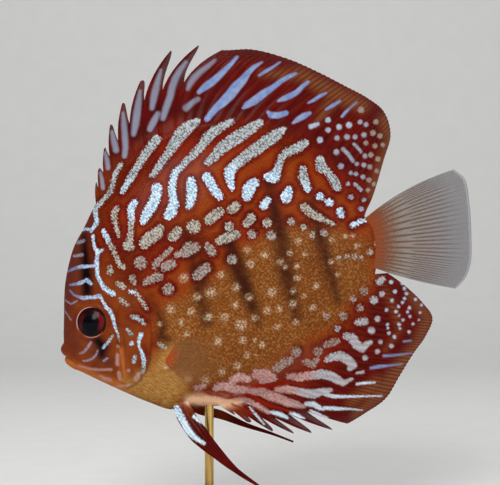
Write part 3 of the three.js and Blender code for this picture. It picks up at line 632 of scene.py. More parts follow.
def vertices(piece: Piece) -> Array:
    """The places of a piece's vertices.

    Args:
        piece: The piece.

    Returns:
        One row of x, y and z for each vertex, in metres.
    """
    flat = np.empty(len(piece.data.vertices) * 3, np.float32)
    piece.data.vertices.foreach_get("co", flat)
    return flat.reshape(-1, 3).astype(float)


def set_vertices(piece: Piece, points: Array) -> None:
    """Moves a piece's vertices."""
    piece.data.vertices.foreach_set("co", np.ascontiguousarray(points, np.float32).ravel())
    piece.data.update()


def paint_marks(piece: Piece, points: Array, near: Array) -> None:
    """Writes the markings and colour zones on a piece.

    Args:
        piece: The piece.
        points: Its vertices in the fish's own frame.
        near: Each vertex's depth, mirrored to the left side.
    """
    across, down = SIGHT.pixels(points, near)
    gap = np.full(len(points), FAR)
    tints = np.zeros((len(TINTS), len(points)))
    total = np.zeros(len(points))
    for family in MARKINGS:
        own = family.gap(across, down)
        weight = np.exp(-own / TINT_REACH)
        tints += weight * np.array([*family.tone.value, family.strength])[:, None]
        total += weight
        gap = np.minimum(gap, own)
    attribute(piece, "pale", gap)
    for name, values in zip(TINTS, tints / total):
        attribute(piece, name, values)
    # Distance to the dark lines: painted shade in the creases of mouth and gill cover, and the lateral line.
    attribute(piece, "cleft", np.min([line_gap(across, down, line) for line in CREASE_SHADE_AND_LATERAL_LINES], axis=0))
    for wash in WASHES:
        attribute(piece, wash.name, wash.weight(across, down))
    attribute(piece, "fin", smooth(FORM.beyond(points[:, 0], points[:, 2]), FIN_FROM, FIN_TO))
    ghost = np.zeros(len(points))
    for column, row, radius in GHOSTS:
        away = np.hypot(across - column, down - row)
        ghost = np.maximum(ghost, 1 - smooth(away, radius * GHOST_FROM, radius * GHOST_TO))
    attribute(piece, "ghost", ghost)


def deselect() -> None:
    """Leaves object mode with nothing selected."""
    if bpy.context.object and bpy.context.object.mode != "OBJECT":
        bpy.ops.object.mode_set(mode="OBJECT")
    bpy.ops.object.select_all(action="DESELECT")


def named(name: str) -> Piece:
    """Gives the piece that an operator has just made its name.

    Args:
        name: The name for it and its mesh.

    Returns:
        The piece.
    """
    piece = bpy.context.object
    piece.name = name
    piece.data.name = name
    return piece


def add_grid(name: str, columns: int, rows: int) -> tuple[Piece, Array, Array]:
    """Adds a flat grid to shape.

    Args:
        name: The new piece's name.
        columns: How many faces it has across.
        rows: How many faces it has along.

    Returns:
        The grid, and for each vertex its share across and its share along.
    """
    deselect()
    bpy.ops.mesh.primitive_grid_add(x_subdivisions=columns, y_subdivisions=rows, size=1.0)
    grid = named(name)
    flat = vertices(grid)
    return grid, flat[:, 0] + 0.5, flat[:, 1] + 0.5


def weld(pieces: Sequence[Piece], name: str, reach: float = 1e-6) -> Piece:
    """Joins pieces, merges the vertices they share and turns every face outwards.

    Args:
        pieces: The pieces.
        name: The joined piece's name.
        reach: How near merged vertices lie.

    Returns:
        The joined piece.
    """
    deselect()
    for piece in pieces:
        piece.select_set(True)
    bpy.context.view_layer.objects.active = pieces[0]
    if len(pieces) > 1:
        bpy.ops.object.join()
    whole = named(name)
    bpy.ops.object.mode_set(mode="EDIT")
    bpy.ops.mesh.select_all(action="SELECT")
    bpy.ops.mesh.remove_doubles(threshold=reach)
    bpy.ops.mesh.normals_make_consistent(inside=False)
    bpy.ops.object.mode_set(mode="OBJECT")
    bpy.ops.object.shade_smooth()
    return whole


def finish_piece(piece: Piece, finish: Finish, nodes: Sequence[str]) -> None:
    """Dresses a finished piece and ties it to the solids that it stands for.

    Args:
        piece: The piece.
        finish: Its finish.
        nodes: The solids that it takes the place of.
    """
    piece.data.materials.clear()
    piece.data.materials.append(finish.material())
    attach(piece, BODY)
    if nodes:
        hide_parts(*nodes)
    LOG.info("%s: %d faces", piece.name, len(piece.data.polygons))


class Wire:
    """A shader value that takes part in Python sums."""

    def __init__(self, graph: Graph, socket: bpy.types.NodeSocket) -> None:
        """Keeps the socket and the graph that it belongs to."""
        self.graph = graph
        self.socket = socket

    def __add__(self, other: Value) -> Wire:
        """Sum."""
        return self.graph.math("ADD", self, other)

    def __radd__(self, other: float) -> Wire:
        """Sum with a number first."""
        return self.graph.math("ADD", other, self)

    def __sub__(self, other: Value) -> Wire:
        """Difference."""
        return self.graph.math("SUBTRACT", self, other)

    def __rsub__(self, other: float) -> Wire:
        """Difference with a number first."""
        return self.graph.math("SUBTRACT", other, self)

    def __mul__(self, other: Value) -> Wire:
        """Product."""
        return self.graph.math("MULTIPLY", self, other)

    def __rmul__(self, other: float) -> Wire:
        """Product with a number first."""
        return self.graph.math("MULTIPLY", other, self)

    def step(self, low: float, high: float) -> Wire:
        """Rises smoothly from 0 at low to 1 at high.

        Args:
            low: Where it leaves 0.
            high: Where it reaches 1.

        Returns:
            The eased value.
        """
        settings = {"interpolation_type": "SMOOTHSTEP"}
        made = self.graph.node("ShaderNodeMapRange", settings, {0: self, 1: low, 2: high, 3: 0.0, 4: 1.0})
        return Wire(self.graph, made.outputs[0])


Value = Wire | float
Colour = tuple[float, float, float, float]


def tint(red: float, green: float, blue: float) -> Colour:
    """A colour from its screen values of 0 to 255."""
    parts = [value / 255 for value in (red, green, blue)]
    return tuple(p / 12.92 if p <= 0.04045 else ((p + 0.055) / 1.055) ** 2.4 for p in parts) + (1.0,)


class Graph:
    """A material's nodes, built from Python expressions."""

    def __init__(self, name: str) -> None:
        """Starts an empty material.

        Args:
            name: The material's name.
        """
        self.material = bpy.data.materials.new(name)
        self.material.use_nodes = True
        self.tree = self.material.node_tree
        self.tree.nodes.clear()

    def node(
        self, kind: str, settings: dict[str, object], sockets: dict[str | int, object]
    ) -> bpy.types.Node:
        """Adds a node.

        Args:
            kind: The node's type.
            settings: Its settings, set before its sockets.
            sockets: Values or wires for its inputs, by name or number.

        Returns:
            The node.
        """
        made = self.tree.nodes.new(kind)
        for name, value in settings.items():
            setattr(made, name, value)
        for name, value in sockets.items():
            if isinstance(value, Wire):
                self.tree.links.new(value.socket, made.inputs[name])
            else:
                made.inputs[name].default_value = value
        return made

    def math(self, operation: str, *values: Value) -> Wire:
        """A sum on numbers and wires."""
        made = self.node("ShaderNodeMath", {"operation": operation}, dict(enumerate(values)))
        return Wire(self, made.outputs[0])

    def mix(self, factor: Value, first: Wire | Colour, second: Wire | Colour) -> Wire:
        """Blends two colours.

        Args:
            factor: Share of the second.
            first: Colour at 0.
            second: Colour at 1.

        Returns:
            The blend.
        """
        settings = {"data_type": "RGBA", "clamp_factor": True}
        made = self.node("ShaderNodeMix", settings, {0: factor, 6: first, 7: second})
        return Wire(self, made.outputs[2])

    def read(self, name: str) -> Wire:
        """A number that the piece's vertices carry."""
        made = self.node("ShaderNodeAttribute", {"attribute_name": name}, {})
        return Wire(self, made.outputs["Fac"])

    def place(self) -> Wire:
        """The surface point in the shared frame."""
        return Wire(self, self.node("ShaderNodeTexCoord", {}, {}).outputs["Object"])

    def split(self, vector: Wire) -> tuple[Wire, Wire, Wire]:
        """The three parts of a vector."""
        made = self.node("ShaderNodeSeparateXYZ", {}, {0: vector})
        return tuple(Wire(self, output) for output in made.outputs)

    def join(self, *parts: Value) -> Wire:
        """A vector of three parts."""
        return Wire(self, self.node("ShaderNodeCombineXYZ", {}, dict(enumerate(parts))).outputs[0])

    def stretch(self, vector: Wire, scale: Sequence[float]) -> Wire:
        """A vector whose parts are scaled apart."""
        return self.join(*[part * size for part, size in zip(self.split(vector), scale)])

    def noise(self, vector: Wire, scale: float, detail: float = 2.0, roughness: float = 0.5) -> Wire:
        """Smooth noise between 0 and 1."""
        sockets = {"Vector": vector, "Scale": scale, "Detail": detail, "Roughness": roughness}
        return Wire(self, self.node("ShaderNodeTexNoise", {}, sockets).outputs["Fac"])

    def bump(self, height: Wire, distance: float, strength: float = 1.0) -> Wire:
        """A normal that stands for a finely uneven surface."""
        made = self.node("ShaderNodeBump", {}, {"Height": height, "Distance": distance, "Strength": strength})
        return Wire(self, made.outputs[0])

    def close(self, **sockets: object) -> bpy.types.Material:
        """Ends the graph in a principled surface.

        Args:
            sockets: Values or wires by the socket's name, underscores for spaces.

        Returns:
            The material.
        """
        inputs = {name.replace("_", " "): value for name, value in sockets.items()}
        surface = self.node("ShaderNodeBsdfPrincipled", {}, inputs)
        output = self.node("ShaderNodeOutputMaterial", {}, {})
        self.tree.links.new(surface.outputs[0], output.inputs[0])
        return self.material


@dataclass(frozen=True)
class ScaleRows:
    """The lattice of the scales: their pitch, and how far their rows rise towards the tail."""

    pitch: float = 1.9
    rise: float = 18.8

    def wires(self, graph: Graph, place: Wire) -> tuple[Wire, Wire]:
        """Steps along and across the rows, in scales.

        Args:
            graph: The material's nodes.
            place: The surface point.

        Returns:
            Steps along and across.
        """
        x, _, z = graph.split(place)
        turn = math.radians(self.rise)
        scale = METRE / self.pitch
        along = x * (math.cos(turn) * scale) + z * (math.sin(turn) * scale)
        across = z * (math.cos(turn) * scale) - x * (math.sin(turn) * scale)
        return along, across

    def domes(self, points: Array) -> Array:
        """Height of the scales over points of the shared frame, from 0 between them to 1 in their middles.

        Args:
            points: The points.

        Returns:
            One height for each point.
        """
        turn = math.radians(self.rise)
        scale = METRE / self.pitch
        along = (points[:, 0] * math.cos(turn) + points[:, 2] * math.sin(turn)) * scale
        across = (points[:, 2] * math.cos(turn) - points[:, 0] * math.sin(turn)) * scale
        gaps = []
        for shift in (0.0, 0.5):
            gaps.append(np.hypot((along + shift) % 1 - 0.5, (across + shift) % 1 - 0.5))
        return 1 - (np.minimum(*gaps) / 0.5) ** 2


SCALES = ScaleRows()


class Finish:
    """A finish whose material is made once and shared by its pieces."""

    made: dict[str, bpy.types.Material] = {}

    def material(self) -> bpy.types.Material:
        """The finish's material.

        Returns:
            The material.
        """
        key = repr(self)
        if key not in self.made:
            self.made[key] = self.build()
        return self.made[key]

    def build(self) -> bpy.types.Material:
        """Builds the material."""
        raise NotImplementedError


@dataclass(frozen=True)
class Hide(Finish):
    """Wet scaled skin and fin membrane, with the fish's markings."""

    name: str = "discus_hide"
    red: Colour = tint(112, 18, 4)
    dark_red: Colour = tint(76, 6, 2)
    rust: Colour = tint(138, 58, 12)
    fin_red: Colour = tint(86, 3, 3)
    fin_dark: Colour = tint(58, 1, 1)
    fin_ray: Colour = tint(102, 24, 8)
    brown: Colour = tint(112, 66, 36)
    brown_ray: Colour = tint(92, 28, 14)
    gold: Colour = tint(134, 78, 28)
    dull_gold: Colour = tint(92, 44, 12)
    glint: Colour = tint(196, 146, 92)
    face: Colour = tint(128, 58, 19)
    deep_face: Colour = tint(96, 36, 16)
    crease_shade_and_line: Colour = tint(62, 20, 7)
    breast: Colour = tint(180, 134, 74)
    breast_shade: Colour = tint(142, 96, 42)
    umber: Colour = tint(86, 38, 28)
    chin_orange_and_highlight: Colour = tint(196, 112, 50)
    rose: Colour = tint(150, 84, 58)
    peach: Colour = tint(244, 196, 152)
    vein: Colour = tint(134, 20, 8)
    dusk: Colour = tint(52, 16, 6)
    soot: Colour = tint(14, 2, 6)
    frost: Colour = tint(212, 232, 242)
    frost_shade: Colour = tint(112, 138, 166)
    silver: Colour = tint(184, 192, 194)
    silver_shade: Colour = tint(84, 80, 78)
    pearl: Colour = tint(188, 184, 172)
    pearl_shade: Colour = tint(88, 72, 56)
    lilac: Colour = tint(98, 116, 170)
    lilac_light: Colour = tint(152, 178, 210)
    smoke: Colour = tint(132, 135, 154)
    rosy: Colour = tint(212, 174, 166)
    rosy_shade: Colour = tint(150, 106, 100)
    ghost: Colour = tint(206, 182, 150)
    dash_length: float = 1.2
    dash_width: float = 0.54
    dash_wander: float = 0.78
    grain_scale: float = 2600.0
    speck_scale: float = 420.0
    cloud_scale: float = 110.0
    drift_scale: float = 45.0
    rib_along: float = 3.2
    rib_across: float = 0.7
    relief: float = 0.0001
    gloss: float = 0.42
    coat: float = 0.04

    def dashes(self, g: Graph, place: Wire) -> tuple[Wire, Wire]:
        """Small slanting glints: closeness to the middle of the nearest one, and its own brightness.

        Args:
            g: The material's nodes.
            place: The surface point.

        Returns:
            Closeness and brightness.
        """
        x, _, z = g.split(place)
        slant = math.sqrt(0.5) * METRE
        spot = g.join((x - z) * (slant / self.dash_length), (x + z) * (slant / self.dash_width), 0.0)
        sockets = {"Vector": spot, "Scale": 1.0, "Randomness": self.dash_wander}
        cells = g.node("ShaderNodeTexVoronoi", {"voronoi_dimensions": "2D"}, sockets)
        near = 1 - Wire(g, cells.outputs["Distance"]).step(0.05, 0.62)
        # The product with one turns the cell's colour into a plain number.
        return near, Wire(g, cells.outputs["Color"]) * 1.0

    def build(self) -> bpy.types.Material:
        """Builds the skin's material.

        Returns:
            The material.
        """
        g = Graph(self.name)
        place = g.place()
        near, luck = self.dashes(g, place)
        dash = (near * 0.75 + luck * 0.5 - 0.25).step(0.05, 0.75)
        grain = g.noise(place, self.grain_scale, 2.0, 0.7)
        speck = g.noise(place, self.speck_scale, 2.0)
        cloud = g.noise(place, self.cloud_scale, 3.0, 0.6)
        drift = g.noise(place, self.drift_scale, 2.0)
        ray = g.read("ray")
        reach = g.read("reach")
        gap = g.read("pale")
        fin = g.read("fin")
        along, across = SCALES.wires(g, place)
        bald = g.read("bald")
        peach = g.read("peach")

        # Flesh: rust, but red round the markings.
        wavy_gap = gap + (cloud - 0.5) * 5.0 + (drift - 0.5) * 7.0
        halo = (1 - wavy_gap.step(1.6, 8.0)) * (drift.step(0.3, 0.6) * 0.6 + 0.4)
        flesh = g.mix((cloud + drift - 0.5 + (dash - 0.5) * 0.25).step(0.25, 0.75), self.dark_red, self.red)
        rust = (1 - halo) * (0.7 + dash * 0.3) * (1 - g.read("crimson") * 0.75)
        flesh = g.mix(rust, flesh, self.rust)

        # Fins: dark membrane with lighter rays, brown towards the margin.
        web = g.mix(cloud.step(0.3, 0.7), self.fin_dark, self.fin_red)
        web = g.mix(ray * reach.step(0.2, 0.6) * 0.7, web, self.fin_ray)
        web = g.mix(g.read("brown"), web, g.mix(ray.step(0.3, 0.8), self.brown, self.brown_ray))
        skin = g.mix(fin, flesh, web)

        # Head.
        face = g.mix((cloud + speck * 0.35).step(0.42, 0.88), self.deep_face, self.face)
        skin = g.mix(g.read("face"), skin, face)
        skin = g.mix(g.read("umber") * (0.55 + cloud * 0.5), skin, self.umber)
        # Orange chin, partly a painted highlight along the jaw's lower edge.
        skin = g.mix(g.read("chin_orange_and_highlight") * (0.62 + speck * 0.4), skin, self.chin_orange_and_highlight)

        # Golden flank: dull and bright gold by the noise and by closeness to the glints, and slanting glints
        # of pale gold, which are painted highlights.
        shine = near.step(0.1, 0.75) * 0.5 + (drift + cloud * 0.6 - 0.46) * 0.9
        gold = g.mix(shine, self.dull_gold, self.gold)
        gold = g.mix(dash * luck.step(0.35, 0.75) * (0.1 + drift * 0.32), gold, self.glint)
        skin = g.mix((g.read("gold") + (cloud - 0.5) * 0.6).step(0.0, 1.0), skin, gold)

        # Ribbed breast and rosy belly.
        lengthways, crossways = (along + across) * self.rib_along, (along - across) * self.rib_across
        ribs = g.noise(g.join(lengthways, crossways, 0.0), 1.0, 2.0, 0.6)
        breast = g.mix(ribs.step(0.35, 0.7), self.breast_shade, self.breast)
        skin = g.mix(g.read("breast"), skin, breast)
        skin = g.mix(g.read("rose") * 0.22, skin, self.rose)
        skin = g.mix(peach * (0.5 + cloud * 0.6), skin, self.peach)

        # Dusky bars, the dark bar through the eye, faint spots that show mostly on the painted glints, and
        # dark lines: painted shade in the creases of mouth and gill cover, and the lateral line.
        patch = (cloud + speck * 0.5 + near * 0.15).step(0.5, 0.95)
        skin = g.mix(g.read("dusk") * (0.52 + patch * 0.46), skin, self.dusk)
        skin = g.mix(g.read("soot") * (0.85 + cloud * 0.3), skin, self.soot)
        skin = g.mix(g.read("ghost") * (0.15 + dash * 0.75), skin, self.ghost)
        # Painted shade in the mouth's slit and under the gill cover's edges, and the lateral line's dark
        # line.
        crease_shade_and_line = 1 - g.read("cleft").step(-0.4, 1.5)
        skin = g.mix(crease_shade_and_line * 0.42, skin, self.crease_shade_and_line)

        # Tints of the pale markings, each mixed between a lit and a shaded copy by the sheen: a painted
        # glitter of scale glints.
        smoky = g.read("smoky")
        blueness = g.read("blue")
        sheen = (near * 0.55 + luck * 0.5 + (grain - 0.5) * 0.8 + fin * 0.5).step(0.0, 0.9)
        silver = g.mix(sheen, self.silver_shade, self.silver)
        pearl = g.mix(sheen, self.pearl_shade, self.pearl)
        icy = g.mix(sheen, self.frost_shade, self.frost)
        pale = g.mix(g.read("pearly"), silver, pearl)
        pale = g.mix(g.read("icy"), pale, icy)
        silk = (grain * 0.7 + ray * 0.35 + speck * 0.6 - 0.3).step(0.2, 0.9)
        blue = g.mix(silk, self.lilac, self.lilac_light)
        pale = g.mix(smoky, g.mix(blueness, pale, blue), self.smoke)
        rosy = g.read("rosy")
        flat = g.read("face") * 0.7
        # The rosy tint's lit and shaded copies, mixed by the painted glitter and by noise.
        rosy_glitter_and_tone = sheen * 0.7 + (cloud - 0.5) * 0.9
        pale = g.mix(rosy, pale, g.mix(rosy_glitter_and_tone * (1 - flat) + flat * 0.6, self.rosy_shade, self.rosy))
        pale = g.mix(peach * 0.8, pale, self.peach)

        # Their edges, ragged where the skin is scaled.
        scaled = (1 - blueness) * (1 - smoky) * (1 - fin * 0.6) * (1 - bald * 0.9)
        ragged = (0.5 - near) * (0.15 + scaled * 1.4) + (grain - 0.5) * (1.4 - fin * 0.6)
        blur = (1 - fin * 0.35) * (1 - rosy * 0.45) * (1 - smoky * 0.4)
        thin = (bald * (1 - fin) + fin) * 0.5
        wander = (speck - 0.5) * rosy * (1 - flat) * 3.0
        mask = 1 - ((gap + ragged + thin + wander) * blur).step(-0.35, 1.05)
        colour = g.mix(mask * g.read("fade") * (1 - ray * fin * 0.32), skin, pale)
        colour = g.mix(g.read("vein") * 0.85, colour, self.vein)

        height = grain * 0.3 + near * scaled * 0.5 + ray * 0.6
        return g.close(
            Base_Color=colour,
            Roughness=self.gloss + grain * 0.14 - mask * 0.08,
            Coat_Weight=self.coat,
            Coat_Roughness=0.14,
            Specular_IOR_Level=0.03,
            Alpha=1 - g.read("clear"),
            Normal=g.bump(height, self.relief),
        )


@dataclass(frozen=True)
class ClearFin(Finish):
    """A see-through fin membrane between brownish rays."""

    name: str = "clear_fin"
    foot: Colour = tint(132, 54, 12)
    ray: Colour = tint(112, 72, 40)
    web: Colour = tint(104, 86, 70)
    outer: Colour = tint(96, 92, 96)
    edge: Colour = tint(180, 178, 182)
    cover: float = 0.46
    ray_cover: float = 0.6
    foot_reach: float = 0.42
    grain_scale: float = 1600.0
    ray_edges: Span = (0.45, 0.95)

    def build(self) -> bpy.types.Material:
        """Builds the membrane's material.

        Returns:
            The material.
        """
        g = Graph(self.name)
        place = g.place()
        grain = g.noise(place, self.grain_scale, 2.0)
        ray = g.read("ray")
        reach = g.read("reach")
        foot = 1 - (reach + (grain - 0.5) * 0.25).step(0.05, self.foot_reach)
        web = g.mix(reach.step(0.3, 0.9), self.web, self.outer)
        on_ray = ray.step(*self.ray_edges)
        colour = g.mix(on_ray * (1 - reach * 0.75), web, self.ray)
        colour = g.mix(foot, colour, self.foot)
        rim = g.read("rim")
        colour = g.mix(rim, colour, self.edge)
        strand = on_ray * self.ray_cover * (1 - reach * 0.55)
        cover = self.cover + foot * 0.75 + strand + rim * 0.25
        return g.close(
            Base_Color=colour,
            Roughness=0.4 + grain * 0.15,
            Specular_IOR_Level=0.06,
            Coat_Weight=0.05,
            Coat_Roughness=0.2,
            Alpha=g.math("MINIMUM", cover, 1.0),
            Normal=g.bump(ray * 0.7 + grain * 0.3, 0.0001),
        )


@dataclass(frozen=True)
class EyeGloss(Finish):
    """A wet eye: black pupil, near-black maroon iris with a crescent of painted light, and a pale rim painted
    where it is lit.
    """

    name: str = "eye_gloss"
    pupil: Colour = tint(2, 2, 6)
    iris: Colour = tint(26, 4, 6)
    lit_iris: Colour = tint(112, 14, 20)
    rim: Colour = tint(206, 158, 146)
    rust: Colour = tint(150, 62, 30)
    fleck_scale: float = 1500.0
    pupil_edge: Span = (0.93, 1.07)
    rim_edge: Span = (14.5, 15.0)

    def build(self) -> bpy.types.Material:
        """Builds the eye's material.

        Returns:
            The material.
        """
        g = Graph(self.name)
        place = g.place()
        fleck = g.noise(place, self.fleck_scale, 3.0, 0.65)
        # Painted light: the iris shows red in a crescent on its lit side.
        iris = g.mix(g.read("lit_iris") * (0.35 + fleck * 0.9), self.iris, self.lit_iris)
        colour = g.mix(g.read("pupil").step(*self.pupil_edge), self.pupil, iris)
        # The rim shows only where it is lit: pale there as a painted highlight, orange where the light is
        # weaker.
        lit = g.read("lit")
        edge = g.mix(lit.step(0.45, 0.9), self.rust, self.rim)
        rim = (g.read("radius") + (fleck - 0.5) * 0.6).step(*self.rim_edge)
        colour = g.mix(rim * lit.step(0.05, 0.45) * 0.9, colour, edge)
        return g.close(
            Base_Color=colour,
            Roughness=0.2 + fleck * 0.08,
            Specular_IOR_Level=0.06,
            Coat_Weight=0.07,
            Coat_Roughness=0.05,
            Normal=g.bump(fleck, 0.00003),
        )


@dataclass(frozen=True)
class Wood(Finish):
    """Dark varnished wood with a straight grain."""

    name: str = "stand_wood"
    dark: Colour = tint(38, 22, 15)
    light: Colour = tint(84, 50, 32)
    grain: tuple[float, float, float] = (12.0, 260.0, 200.0)
    pore: tuple[float, float, float] = (150.0, 2600.0, 1800.0)

    def build(self) -> bpy.types.Material:
        """Builds the wood's material.

        Returns:
            The material.
        """
        g = Graph(self.name)
        place = g.place()
        lines = g.noise(g.stretch(place, self.grain), 1.0, 5.0, 0.6)
        pores = g.noise(g.stretch(place, self.pore), 1.0, 2.0, 0.6)
        colour = g.mix(lines.step(0.35, 0.7) * (0.6 + pores * 0.5), self.dark, self.light)
        return g.close(
            Base_Color=colour,
            Roughness=0.3 + pores * 0.15,
            Coat_Weight=0.5,
            Coat_Roughness=0.12,
            Normal=g.bump(pores, 0.00005),
        )


@dataclass(frozen=True)
class Brass(Finish):
    """Brushed brass."""

    name: str = "stand_brass"
    colour: Colour = tint(202, 164, 96)
    stain: Colour = tint(150, 112, 60)
    brush: tuple[float, float, float] = (900.0, 900.0, 9000.0)
    blot_scale: float = 160.0

    def build(self) -> bpy.types.Material:
        """Builds the metal's material.

        Returns:
            The material.
        """
        g = Graph(self.name)
        place = g.place()
        brush = g.noise(g.stretch(place, self.brush), 1.0, 2.0)
        blot = g.noise(place, self.blot_scale, 3.0)
        return g.close(
            Base_Color=g.mix(blot.step(0.5, 0.8) * 0.5, self.colour, self.stain),
            Metallic=1.0,
            Roughness=0.22 + brush * 0.16,
            Normal=g.bump(brush, 0.00002),
        )


@dataclass(frozen=True)
class Backdrop(Finish):
    """Matt pale paper."""

    name: str = "studio_paper"
    colour: Colour = tint(238, 237, 234)
    shade: Colour = tint(231, 230, 227)
    fibre_scale: float = 60.0

    def build(self) -> bpy.types.Material:
        """Builds the paper's material.

        Returns:
            The material.
        """
        g = Graph(self.name)
        fibre = g.noise(g.place(), self.fibre_scale, 4.0)
        return g.close(Base_Color=g.mix(fibre, self.colour, self.shade), Roughness=0.9)


HIDE = Hide()


@dataclass(frozen=True)
class Form:
    """The finless body: its outline, its thickness and its gentle bend."""

    outline: Line = (
        (-56.9, -28.4), (-56.9, -18.4), (-56.4, -6.4), (-53.4, 6.3), (-50.0, 12.8), (-44.6, 23.4),
        (-36.7, 33.1), (-25.9, 42.5), (-11.5, 49.0), (4.7, 50.4), (20.9, 46.1), (33.5, 37.8),
        (44.3, 27.0), (50.0, 18.8), (54.6, 14.6), (56.2, 7.9), (55.8, 0.6), (53.6, -8.5),
        (49.7, -16.9), (40.7, -28.8), (28.1, -39.6), (13.7, -47.5), (1.1, -50.4), (-12.6, -51.1),
        (-18.6, -51.9), (-27.0, -49.1), (-38.0, -44.4), (-49.0, -39.2), (-53.6, -36.7), (-56.3, -33.4),
    )
    outline_steps: int = 6000
    half_width: float = 12.0
    head_swell: float = 0.035
    tail_taper: float = 0.055
    head_keel: float = 1.0
    body_keel: float = 1.25
    keel_change: Span = (18.0, 44.0)
    tail_swing: float = 3.0
    swing_from: float = 10.0
    tail_tip: float = 90.0
    fin_foot: float = 1.3
    blend: float = 0.8
    blend_to: float = 8.0
    dip: float = 0.18
    dip_ends: Span = (-3.5, -1.4)
    lift: float = 0.06
    lift_starts: Span = (-1.6, -0.6)
    lift_ends: Span = (1.0, 5.0)
    fins_from: float = 153.0
    fins_to: float = -88.0
    fins_fade: float = 5.0

    def rim(self, angle: Array) -> Array:
        """The outline's distance from the middle of the flank, in each direction.

        Args:
            angle: Directions in radians.

        Returns:
            One distance for each.
        """
        knots = np.array(self.outline)
        curve = spline(knots, np.linspace(0, len(knots), self.outline_steps, endpoint=False), closed=True)
        turn = np.arctan2(curve[:, 1], curve[:, 0])
        order = np.argsort(turn)
        return np.interp(angle, turn[order], np.hypot(*curve[order].T), period=2 * math.pi)

    def fullness(self, x: Array) -> Array:
        """How fat the body is about mid flank."""
        return self.half_width + np.where(x < 0, -x * self.head_swell, -x * self.tail_taper)

    def swing(self, x: Array) -> Array:
        """How far the midplane bends towards the fish's right."""
        return self.tail_swing * (np.maximum(0, x - self.swing_from) / (self.tail_tip - self.swing_from)) ** 2

    def bare(self, x: Array, z: Array) -> Array:
        """Half thickness of the finless body.

        Args:
            x: Place along the body.
            z: Height.

        Returns:
            One half thickness for each point.
        """
        share = np.hypot(x, z) / self.rim(np.arctan2(z, x))
        keel = self.body_keel + (self.head_keel - self.body_keel) * smooth(-x, *self.keel_change)
        return self.fullness(x) * np.maximum(0, 1 - share * share) ** (keel / 2)

    def finned(self, x: Array, z: Array) -> Array:
        """Where along the rim fins grow: 1 on the back, tail and hind belly, 0 on the head and throat.

        Args:
            x: Place along the body.
            z: Height.

        Returns:
            One share for each point.
        """
        degrees = np.degrees(np.arctan2(z, x))
        behind, ahead = self.fins_from - degrees, degrees - self.fins_to
        return smooth(behind, 0, self.fins_fade) * smooth(ahead, 0, self.fins_fade)

    def beyond(self, x: Array, z: Array) -> Array:
        """How far each point lies outside the outline, negative inside it."""
        return np.hypot(x, z) - self.rim(np.arctan2(z, x))

    def half(self, x: Array, z: Array) -> Array:
        """Half thickness of the body, thickened where fins grow from its rim."""
        feet = self.finned(x, z)
        return smooth_max(self.bare(x, z), self.fin_foot * feet, self.blend * feet)

    def fin_half(self, x: Array, z: Array, blade: Array) -> Array:
        """Half thickness of a fin, which dips under the skin inside the rim.

        Args:
            x: Place along the body.
            z: Height.
            blade: Half thickness that the fin alone has there.

        Returns:
            One half thickness for each point.
        """
        out = self.beyond(x, z)
        whole = smooth_max(self.bare(x, z), blade, self.blend * (1 - smooth(out, 0, self.blend_to)))
        dip = self.dip * (1 - smooth(out, *self.dip_ends))
        lift = self.lift * smooth(out, *self.lift_starts) * (1 - smooth(out, *self.lift_ends))
        return whole - dip + lift

    def near(self, points: Array) -> Array:
        """Depth of each point as its mirror on the left side has it."""
        swing = self.swing(points[:, 0])
        return swing - np.abs(points[:, 1] - swing)


FORM = Form()


@dataclass(frozen=True)
class EyeRim:
    """Where the photograph shows the eye: its middle in pixels, and how much narrower than tall it is."""

    column: float = 91.3
    row: float = 322.2
    narrow: float = 1.05

    def reach(self, across: Array, down: Array) -> Array:
        """Distance in pixels from the eye's middle, evened out over its oval."""
        return np.hypot((across - self.column) * self.narrow, down - self.row)


RIM_OF_EYE = EyeRim()


def paint(piece: Piece) -> None:
    """Writes the markings on a finished piece."""
    points = vertices(piece) * METRE - np.array([PLACE.along, 0.0, PLACE.up])
    paint_marks(piece, points, FORM.near(points))


